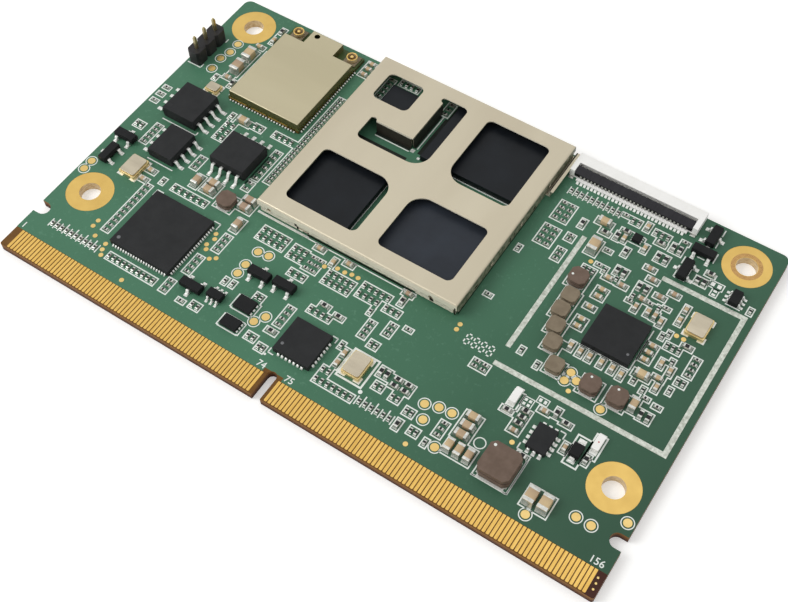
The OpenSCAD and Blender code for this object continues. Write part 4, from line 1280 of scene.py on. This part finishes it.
MOULD = Finish(
    "moulding_compound", Slot.MOULD, "#262728", "#1F2021",
    roughness=0.6, gloss_spread=0.06, patch_mm=2.0, grain_mm=0.06, relief_um=3.0, specular=0.22,
)
SMALL_MOULD = Finish(
    "small_moulding", Slot.MOULD, "#151617", "#1B1C1D",
    roughness=0.55, gloss_spread=0.06, patch_mm=1.5, grain_mm=0.06, relief_um=2.0, specular=0.16,
)
MARK = Finish(
    "laser_mark", Slot.MOULD, "#77787A", "#696A6C",
    gloss_spread=0.06, patch_mm=0.3, grain_mm=0.03, specular=0.25,
)
DIMPLE = Finish(
    "mould_dimple", Slot.MOULD, "#1C1D1E", "#222324",
    roughness=0.34, gloss_spread=0.06, patch_mm=0.6, relief_um=0.6, specular=0.25,
)
PACKAGE = Finish(
    "package_resin", Slot.PACKAGE, "#171B20", "#121519",
    roughness=0.4, gloss_spread=0.06, patch_mm=3.0, grain_mm=0.06, specular=0.2,
)
PROCESSOR = replace(PACKAGE, name="processor_resin", colour="#30353D", second="#2A2E35")
BLACK = Finish(
    "black_plastic", Slot.BLACK, "#232223", "#2B2A2B",
    patch_mm=1.5, grain_mm=0.08, relief_um=2.0, specular=0.25,
)
# Painted shade: the lock's upright faces are near black, darker than its top of the same plastic.
LOCK_BLACK = SheetFinish(
    "lock_plastic", Slot.BLACK, "#242327", "#2D2C30",
    roughness=0.46, patch_mm=1.5, grain_mm=0.08, relief_um=1.5, stretch=(0.2, 3.0, 1.0), specular=0.2,
    wall="#070708", wall_dark="#0C0C0E", wall_metallic=0.0,
)
PALE = Finish(
    "pale_plastic", Slot.PALE, "#FFFEFB", "#FAF9F5",
    patch_mm=1.5, grain_mm=0.08, relief_um=1.5, specular=0.3,
)
COAX_RESIN = Finish(
    "receptacle_resin", Slot.PALE, "#8C8069", "#7A6F5A", patch_mm=0.8, relief_um=1.5, specular=0.3
)
RED_DOT = Finish("red_dot", Slot.PALE, "#C8483E", "#B83C34", patch_mm=0.3, specular=0.3)
PIN = Finish(
    "pin_metal", Slot.PIN, "#B8AC84", "#9A8F68",
    metallic=0.9, roughness=0.3, patch_mm=0.7, grain_mm=0.04, relief_um=0.5, stretch=(1.0, 1.0, 5.0),
)
LID = Finish(
    "crystal_lid", Slot.LID, "#C8BEA8", "#B6AC98",
    metallic=0.85, roughness=0.38, patch_mm=1.2, grain_mm=0.04, relief_um=0.5, stretch=(4.0, 1.0, 1.0),
)
FERRITE = Finish(
    "ferrite", Slot.FERRITE, "#756357", "#67564A",
    roughness=0.6, patch_mm=0.9, grain_mm=0.06, relief_um=4.0, specular=0.25,
)
TAN_FERRITE = replace(FERRITE, name="tan_ferrite", colour="#8B7E6A", second="#7C6F5C")
CERAMIC = Finish(
    "capacitor_ceramic", Slot.CERAMIC, "#D8BF93", "#AB917B",
    roughness=0.48, patch_mm=4.5, relief_um=2.0, specular=0.3,
)
ALUMINA = Finish(
    "resistor_glaze", Slot.RESISTOR, "#D0CCC0", "#C0BBAE",
    roughness=0.4, patch_mm=0.4, grain_mm=0.04, specular=0.3, mark="#1B1C1E",
)
RADIO_MASK = SheetFinish(
    "radio_mask", Slot.RADIO_MASK, "#4E5F33", "#3F4F2A",
    roughness=0.4, gloss_spread=0.06, patch_mm=4.0, grain_mm=0.08, specular=0.25,
    wall="#7C5F26", wall_dark="#4E3C18", wall_metallic=0.0, side="#40481F", side_dark="#3A3014",
)
INK = Finish(
    "white_ink", Slot.MASK, "#F4F7F2", "#E9EEE7",
    roughness=0.6, gloss_spread=0.06, patch_mm=0.8, relief_um=1.5, specular=0.25,
)
LARGE = ChipSize(length=2.0, width=1.25, height=1.1, cap=0.45, toe=0.2)
MIDDLE = ChipSize(length=1.6, width=0.85, height=0.8, cap=0.35, toe=0.2)
SMALL = ChipSize(length=1.0, width=0.5, height=0.45, cap=0.25, toe=0.13)
TINY = ChipSize(length=0.6, width=0.34, height=0.28, cap=0.17, toe=0.11)


def paint(finish: Finish, *nodes: str) -> None:
    """Keeps CAD nodes as they are and gives them a finish."""
    for node in nodes:
        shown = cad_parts[node]
        shown.data.materials.clear()
        shown.data.materials.append(material(finish))
        LOG.info("%s: painted", node)


@dataclass
class BareBoard:
    """Masked board with its contacts, hole rings, pads and strips; sizes in millimetres."""

    finger_depth: float = 3.05
    key_middle: float = 39.0
    key_half: float = 1.3
    key_depth: float = 3.6
    strip_edge: float = 0.03

    def dress(self) -> None:
        """Paints the board and its metal."""
        left, front, _ = (float(v) for v in BOARD_LOW)
        mask = MaskFinish(
            "green_mask", Slot.MASK, "#4B7B60", "#447258",
            roughness=0.42, gloss_spread=0.05, patch_mm=6.0, grain_mm=0.25, relief_um=2.0, specular=0.25,
            finger_y=front + self.finger_depth * MM,
            key_x=left + self.key_middle * MM,
            key_y=front + self.key_depth * MM,
            key_half=self.key_half * MM,
        )
        paint(mask, "circuit_board")
        paint(CONTACT, "edge_contacts_top", "edge_contacts_bottom")
        paint(GOLD, "test_pads")
        paint(PLATING, "hole_plating")
        soften(STRIP, self.strip_edge, "tinned_strips")


@dataclass
class ShieldSet:
    """Clip-on cover and its soldered frame; sizes in millimetres."""

    fold: float = 0.28
    cut_edge: float = 0.02
    flange: Triple = (0.2, 0.38, 0.12)

    def channel_flange(self) -> None:
        """Lays a flange along the top of the frame's open channel."""
        corners = np.array([vert.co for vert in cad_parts["shield_frame"].data.vertices])
        rim = corners[corners[:, 0] > corners[:, 0].max() - TOUCH_M]
        (x, y0, _), (_, y1, top) = on_board(rim.min(0)), on_board(rim.max(0))
        inward, outward, thick = self.flange
        sketch = Sketch(0.0)
        sketch.bar(x - inward, y0, x + outward, y1, top, top - thick)
        settle(sketch.piece("channel_flange"), SHEET)

    def dress(self) -> None:
        """Rounds the folds of the cover and the edges of the frame."""
        self.channel_flange()
        FoldedSheet("shield_cover", SHEET, self.cut_edge, 1, fold_mm=self.fold).dress()
        soften(SHEET, self.cut_edge, "shield_frame", segments=1)


@dataclass
class RadioModule:
    """Radio board with its can, edge lands and coax receptacles; sizes in millimetres."""

    fold: float = 0.1
    cut_edge: float = 0.02
    rim: float = 0.03
    bead: Triple = (0.27, 0.36, 0.3)
    bead_parts: int = 8
    bead_shade_deg: float = 80.0
    bars: tuple[Place, ...] = ((9.4, 12.1), (12.85, 15.3), (15.7, 18.7))
    bar_rise: Place = (0.62, 0.98)
    bar_proud: float = 0.012

    def beads(self) -> None:
        """Sets a solder bead on each edge land."""
        wide, deep, tall = (v * MM for v in self.bead)
        dome, parts = bmesh.new(), self.bead_parts
        bmesh.ops.create_uvsphere(dome, u_segments=parts, v_segments=parts // 2, radius=0.5)
        bmesh.ops.transform(dome, matrix=Matrix.Diagonal((wide, deep, tall, 1.0)), verts=dome.verts)
        points, turns = [], []
        for low, high in island_boxes("radio_lands"):
            middle, across = (low + high) / 2, high - low
            points.append((middle[0], middle[1], low[2] + tall / 2))
            turns.append(math.pi / 2 if across[0] > across[1] else 0.0)
        mesh = Scatter().run("radio_beads", baked(dome, "bead"), SOLDER, points, turns)
        even_shading(mesh, self.bead_shade_deg)
        settle(link(mesh, "radio_beads"), SOLDER, MODULE, ["radio_lands"])

    def edge_bars(self) -> None:
        """Sets gold bars along the upper part of the small board's front edge."""
        low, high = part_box("radio_board")
        _, y, base = on_board(low)
        lower, upper = (share * (high.z - low.z) / MM for share in self.bar_rise)
        sketch = Sketch(base)
        for x0, x1 in self.bars:
            sketch.bar(x0, y - self.bar_proud, x1, y + self.bar_proud, upper, lower)
        settle(sketch.piece("radio_edge_bars"), EDGE_GOLD)

    def dress(self) -> None:
        """Dresses the small board, can and receptacles."""
        paint(RADIO_MASK, "radio_board")
        self.edge_bars()
        self.beads()
        FoldedSheet("radio_can", CAN, self.cut_edge, 1, fold_mm=self.fold).dress()
        soften(COAX_RESIN, self.rim, "coax_insulators")
        soften(PLATING, self.rim, "coax_shells")
        soften(GOLD, self.rim, "coax_pins")


@dataclass
class Connectors:
    """Pin header and flexible-circuit connector with its flip lock; sizes in millimetres."""

    plastic_edge: float = 0.05
    metal_edge: float = 0.03
    contact_edge: float = 0.012
    prong: Triple = (0.2, 0.32, 0.42)
    prong_base: float = 0.2
    prong_lean: float = 0.3
    bead: Triple = (0.32, 0.36, 0.2)
    bead_lean: float = 0.6
    lip: Place = (0.43, 0.2)
    lip_gap: float = 0.02
    roof_edge: tuple[Place, ...] = (
        (1.54, 1.195), (1.54, 1.16), (1.64, 1.07), (1.66, 1.0), (1.77, 0.95), (1.77, 1.195),
    )
    roof_inset: float = 0.6

    def roof(self) -> None:
        """Carries the housing's roof forward in a thin edge that clears the lock's swing."""
        low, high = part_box("flex_housing")
        top, inset, count = float(BOARD_HIGH[2]), self.roof_inset * MM, len(self.roof_edge)
        ends = (low.x + inset, high.x - inset)
        verts = [(x, low.y + y * MM, top + z * MM) for x in ends for y, z in self.roof_edge]
        faces = [tuple(range(count)), tuple(range(2 * count - 1, count - 1, -1))]
        faces += [(i, i + count, (i + 1) % count + count, (i + 1) % count) for i in range(count)]
        settle(link(turned_out("roof_edge", verts, faces), "roof_edge"), PALE)

    def wedge(self, size: Triple, lean: float) -> Mesh:
        """Makes a small block that stands on its base and whose front leans back.

        Args:
            size: Width, depth and height.
            lean: Share of the depth by which the top front edge stands back.

        Returns:
            Mesh about the middle of the block's base.
        """
        solid = bmesh.new()
        bmesh.ops.create_cube(solid, size=1.0)
        for vert in solid.verts:
            vert.co.y += lean if vert.co.z > 0 > vert.co.y else 0.0
            vert.co.z += 0.5
        stretch = Matrix.Diagonal((*(v * MM for v in size), 1.0))
        bmesh.ops.transform(solid, matrix=stretch, verts=solid.verts)
        return baked(solid, "wedge")

    def tails(self) -> None:
        """Adds the housing's lip over the contact tails, a prong behind and a solder bead before it."""
        low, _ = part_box("flex_housing")
        boxes = island_boxes("flex_contacts")
        middles = [float(a[0] + b[0]) / 2 for a, b in boxes]
        prong_y = low.y + (self.lip_gap + self.prong[1] / 2) * MM
        bead_y, top = float(boxes[0][0][1]), float(BOARD_HIGH[2])
        rows = {
            "contact_prongs": (self.prong, self.prong_lean, TIN, prong_y, top + self.prong_base * MM),
            "contact_beads": (self.bead, self.bead_lean, SOLDER, bead_y, top),
        }
        for name, (size, lean, finish, y, z) in rows.items():
            points, turns = [(x, y, z) for x in middles], [0.0] * len(middles)
            mesh = Scatter().run(name, self.wedge(size, lean), finish, points, turns)
            settle(link(mesh, name), finish)
        reach, tall = self.lip
        x0, x1 = (on_board((x, low.y, top))[0] for x in (min(middles), max(middles)))
        back = on_board(low)[1] - self.lip_gap
        sketch = Sketch()
        sketch.bar(x0 - reach, back - reach, x1 + reach, back, tall)
        settle(sketch.piece("flex_lip"), PALE)

    def dress(self) -> None:
        """Rounds the edges of plastic and metal parts."""
        soften(BLACK, self.plastic_edge, "header_insulator")
        soften(PIN, self.metal_edge, "header_pins")
        soften(PALE, self.plastic_edge, "flex_housing")
        soften(TIN, self.contact_edge, "flex_contacts", segments=1)
        soften(TIN, self.metal_edge, "flex_hold_downs")
        SoftEdges("flip_lock", LOCK_BLACK, self.plastic_edge, body=LOCK).dress()
        self.roof()
        self.tails()


@dataclass
class Packages:
    """Moulded chips with their leads, crystals and lamps; sizes in millimetres."""

    edge: float = 0.04
    lead_edge: float = 0.02
    moulded: tuple[str, ...] = (
        "hub_chip", "bridge_chip", "power_manager", "converter_chip", "wide_eight_lead_bodies",
        "narrow_eight_lead_body",
    )
    small: tuple[str, ...] = ("transistor_bodies", "six_lead_bodies", "no_lead_chips", "diode_body")
    stacked: tuple[str, ...] = ("memory_front", "memory_rear", "companion_chip")
    leads: tuple[str, ...] = (
        "flat_chip_leads", "converter_leads", "eight_lead_legs", "transistor_legs", "six_lead_legs",
        "no_lead_lands", "diode_legs",
    )

    def dress(self) -> None:
        """Rounds bodies and leads."""
        soften(MOULD, self.edge, *self.moulded)
        soften(SMALL_MOULD, self.edge, *self.small)
        soften(PACKAGE, self.edge, *self.stacked)
        soften(PROCESSOR, self.edge, "processor")
        soften(SOLDER, self.lead_edge, *self.leads, segments=1)
        soften(CRYSTAL_BASE, self.edge, "crystal_bases")
        soften(LID, self.edge, "crystal_lids")
        soften(PALE, self.edge, "lamps")


@dataclass
class WoundParts:
    """Choke and coils on drum cores; sizes in millimetres."""

    edge: float = 0.06
    terminal_edge: float = 0.03

    def dress(self) -> None:
        """Rounds cores and terminals."""
        soften(FERRITE, self.edge, "choke_core", "coil_cores")
        soften(TAN_FERRITE, self.edge, "chip_coil_bodies")
        soften(TIN, self.terminal_edge, "choke_terminals", "coil_terminals", "chip_coil_ends")


@dataclass
class SolderLands:
    """Tinned lands that stay in sight beyond the leads, and bare ones without a part."""

    finish: Finish
    thickness: float = 0.025
    leads: tuple[str, ...] = ("converter_leads", "eight_lead_legs", "transistor_legs", "six_lead_legs")
    bodies: tuple[str, ...] = (
        "converter_chip", "wide_eight_lead_bodies", "narrow_eight_lead_body", "transistor_bodies",
        "six_lead_bodies",
    )
    coils: tuple[str, ...] = ("choke_core", "coil_cores", "chip_coil_bodies")
    coil_reach: float = 0.26
    coil_inset: float = 0.3
    crystal_land: Place = (0.7, 0.2)
    foot: float = 0.5
    reach: float = 0.22
    margin: float = 0.04
    bare: tuple[Span, ...] = (
        (63.15, 14.4, 64.05, 14.9), (63.15, 16.7, 64.05, 17.1), (73.7, 14.15, 74.6, 14.75),
        (73.7, 16.5, 74.6, 16.95), (72.15, 11.95, 73.05, 12.5), (72.15, 14.3, 73.05, 15.2),
        (64.6, 15.4, 64.95, 15.75), (65.15, 15.4, 65.5, 15.75), (64.6, 15.95, 64.95, 16.3),
        (65.15, 15.95, 65.5, 16.3), (66.0, 16.7, 66.35, 17.15), (66.6, 16.7, 66.95, 17.15),
        (23.6, 20.82, 31.3, 21.15), (75.4, 41.25, 75.9, 41.8), (76.25, 41.25, 76.75, 41.8),
        (76.1, 40.55, 76.55, 40.85), (76.1, 40.0, 76.55, 40.3), (34.2, 39.1, 34.75, 39.65),
        (35.6, 38.5, 35.95, 38.85),
    )

    def under(self, lead: Box, bodies: Sequence[Box]) -> Box:
        """Finds the land of a lead, which reaches out from the nearest body.

        Args:
            lead: Box of the lead, in metres.
            bodies: Boxes of the packages.

        Returns:
            Box over the land, in metres.
        """
        low, high = (end.copy() for end in lead)
        middle = (low + high)[:2] / 2
        gaps = [np.maximum(np.maximum(b[0][:2] - middle, middle - b[1][:2]), 0.0) for b in bodies]
        body = bodies[int(np.argmin([np.hypot(*g) for g in gaps]))]
        away = (middle - (body[0] + body[1])[:2] / 2) / (body[1] - body[0])[:2]
        axis = int(abs(away[1]) > abs(away[0]))
        low[1 - axis] -= self.margin * MM
        high[1 - axis] += self.margin * MM
        if away[axis] > 0:
            low[axis] = max(low[axis], high[axis] - self.foot * MM)
            high[axis] += self.reach * MM
        else:
            high[axis] = min(high[axis], low[axis] + self.foot * MM)
            low[axis] -= self.reach * MM
        return low, high

    def wide_lands(self) -> list[Box]:
        """Finds the lands in front of the coils and at the corners of the crystals.

        Returns:
            Corners of each land, in metres.
        """
        found = []
        inset, reach = self.coil_inset * MM, self.coil_reach * MM
        for (left, front, z), (right, _, _) in island_boxes(*self.coils):
            corners = (left + inset, front - reach, z), (right - inset, front + inset, z)
            found.append((np.array(corners[0]), np.array(corners[1])))
        wide, reach = (v * MM for v in self.crystal_land)
        for a, b in island_boxes("crystal_bases"):
            for x0, x1 in ((a[0] - reach, a[0] + wide), (b[0] - wide, b[0] + reach)):
                for y0, y1 in ((a[1] - reach, a[1] + wide), (b[1] - wide, b[1] + reach)):
                    found.append((np.array([x0, y0, a[2]]), np.array([x1, y1, a[2]])))
        return found

    def dress(self) -> None:
        """Lays every land on the board."""
        bodies = island_boxes(*self.bodies)
        lands = [self.under(lead, bodies) for lead in island_boxes(*self.leads)] + self.wide_lands()
        sketch = Sketch()
        for corners in (*map(footprint, lands), *self.bare):
            sketch.bar(*corners, self.thickness)
        settle(sketch.piece("solder_lands"), self.finish)


@dataclass
class WallSlots:
    """Dark plates of painted shade on the shield's front and right walls, over its slots and holes and along
    the gaps at its foot.

    Each has its span along the wall and its span up from the board.
    """

    spans: tuple[Span, ...] = (
        (29.1, 29.45, 0.75, 1.2), (29.4, 29.7, 0.35, 0.9), (30.3, 31.1, 0.32, 0.5),
        (48.65, 49.2, 0.45, 0.95), (31.0, 46.2, 0.0, 0.3), (52.05, 52.25, 0.12, 1.5),
    )
    side_spans: tuple[Span, ...] = (
        (25.3, 25.9, 0.5, 0.85), (33.4, 33.6, 0.4, 1.3), (34.3, 34.5, 0.4, 1.3),
        (39.1, 39.7, 0.5, 0.85), (21.5, 40.2, 0.0, 0.16),
    )
    proud: float = 0.004

    def dress(self) -> None:
        """Lays the painted shade of each slot or gap as a thin dark plate on the wall."""
        low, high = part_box("shield_cover")
        front, right, proud = on_board(low)[1], on_board(high)[0], self.proud
        sketch = Sketch()
        for y0, y1, z0, z1 in self.side_spans:
            sketch.bar(right - proud, y0, right + proud, y1, z1, z0)
        for x0, x1, z0, z1 in self.spans:
            sketch.bar(x0, front - proud, x1, front + proud, z1, z0)
        settle(sketch.piece("wall_slots"), PAINTED_SLOT_SHADE)


@dataclass
class InnerWalls:
    """Painted shade on the cover's folded tongue, carried down to the board, and painted shadow on the board
    round it.
    """

    walls: tuple[Span, ...] = (
        (28.8, 39.58, 34.1, 39.7), (34.3, 39.9, 34.42, 46.75),
    )
    height: float = 1.8
    shadow_strips: tuple[Span, ...] = (
        (28.8, 39.15, 34.1, 39.58), (34.42, 39.9, 34.65, 46.3), (26.9, 37.3, 34.5, 38.0),
        (35.2, 39.3, 36.2, 46.2), (35.5, 46.2, 36.2, 49.0),
    )
    shadow_strip_mm: float = 0.008

    def dress(self) -> None:
        """Stands the shaded plates on the board and lays the painted shadow strips."""
        sketch = Sketch()
        for corners in self.walls:
            sketch.bar(*corners, self.height)
        for corners in self.shadow_strips:
            sketch.bar(*corners, self.shadow_strip_mm)
        settle(sketch.piece("inner_walls"), INNER_SHADE)


@dataclass
class TopMarks:
    """Round marks on the tops of parts, as board places with a radius."""

    name: str
    nodes: tuple[str, ...]
    finish: Finish
    places: tuple[Triple, ...]
    thickness: float = 0.006
    parts: int = 24

    def dress(self) -> None:
        """Sets each mark on the highest solid under it."""
        boxes = island_boxes(*self.nodes)
        sketch = Sketch(0.0)
        for x, y, radius in self.places:
            px, py = (float(low) + v * MM for low, v in zip(BOARD_LOW, (x, y)))
            under = [b[1][2] for b in boxes if b[0][0] < px < b[1][0] and b[0][1] < py < b[1][1]]
            top = max(under) / MM
            sketch.ring((x, y), 0.0, radius, top + self.thickness, self.parts, top - self.thickness)
        settle(sketch.piece(self.name), self.finish)


MARKS = (
    TopMarks("lamp_dot", ("lamps",), RED_DOT, ((74.15, 15.6, 0.09),)),
    TopMarks(
        "edge_dots",
        ("circuit_board",),
        GOLD,
        ((81.3, 2.25, 0.13), (81.4, 1.6, 0.13), (81.45, 0.9, 0.13)),
    ),
    TopMarks(
        "coil_dots",
        ("coil_cores", "choke_core"),
        INK,
        ((61.2, 33.1, 0.15), (69.75, 22.0, 0.15), (73.05, 22.2, 0.15), (65.1, 8.7, 0.18)),
    ),
    TopMarks(
        "first_lead_dots",
        ("hub_chip", "bridge_chip", "power_manager"),
        MARK,
        ((12.2, 8.2, 0.24), (37.8, 6.9, 0.2), (71.75, 26.9, 0.17)),
    ),
    TopMarks(
        "first_lead_dimples",
        ("wide_eight_lead_bodies", "narrow_eight_lead_body"),
        DIMPLE,
        ((4.5, 27.5, 0.4), (14.85, 24.25, 0.4), (7.1, 21.2, 0.35)),
    ),
)


@dataclass
class HoleWear:
    """Burnished ring that a screw head left round the back right bore."""

    finish: Finish
    inner: float = 1.4
    outer: float = 1.95
    thickness: float = 0.004
    parts: int = 64

    def dress(self) -> None:
        """Lays a thin ring round the bore on the top side."""
        a, b = max(island_boxes("hole_plating"), key=lambda box: box[0][0] + box[0][1])
        x, y, _ = on_board((a + b) / 2)
        sketch = Sketch()
        sketch.ring((x, y), self.inner, self.outer, self.thickness, self.parts)
        settle(sketch.piece("hole_wear"), self.finish)


@dataclass
class ChipParts:
    """Every chip capacitor and resistor, and the resistors that only the scene has."""

    extras: tuple[tuple[ChipSize, float, float, bool], ...] = (
        (SMALL, 74.85, 42.55, False),
        (SMALL, 73.9, 41.0, True),
        (SMALL, 74.7, 41.0, True),
    )

    def dress(self) -> list[Box]:
        """Dresses every family.

        Returns:
            The outer boxes of all chips, in metres.
        """
        outer: list[Box] = []
        for name, kind, sizes, finish, extras in (
            ("large_capacitor", ChipKind.CAPACITOR, (LARGE, MIDDLE), CERAMIC, ()),
            ("small_capacitor", ChipKind.CAPACITOR, (SMALL, TINY), CERAMIC, ()),
            ("chip_resistor", ChipKind.RESISTOR, (MIDDLE, SMALL, TINY), ALUMINA, self.extras),
        ):
            family = ChipFamily(name + "s", name + "_ends", kind, sizes, finish, TIN, extras)
            outer += family.find()
            family.dress()
        return outer


def main() -> None:
    """Builds the studio and dresses every part of the module."""
    logging.basicConfig(level=logging.INFO, format="%(message)s")
    Studio().build()
    for part in (BareBoard(), ShieldSet(), RadioModule(), Connectors(), Packages(), WoundParts()):
        part.dress()
    outlined = ChipParts().dress()
    lands = SolderLands(SOLDER)
    lands.dress()
    outlined += island_boxes(*lands.coils, "no_lead_chips", "no_lead_lands")
    PrintedInk(INK).dress(outlined)
    for part in (WallSlots(), InnerWalls(), HoleWear(BURNISHED), *MARKS):
        part.dress()


if __name__ == "__main__":
    main()
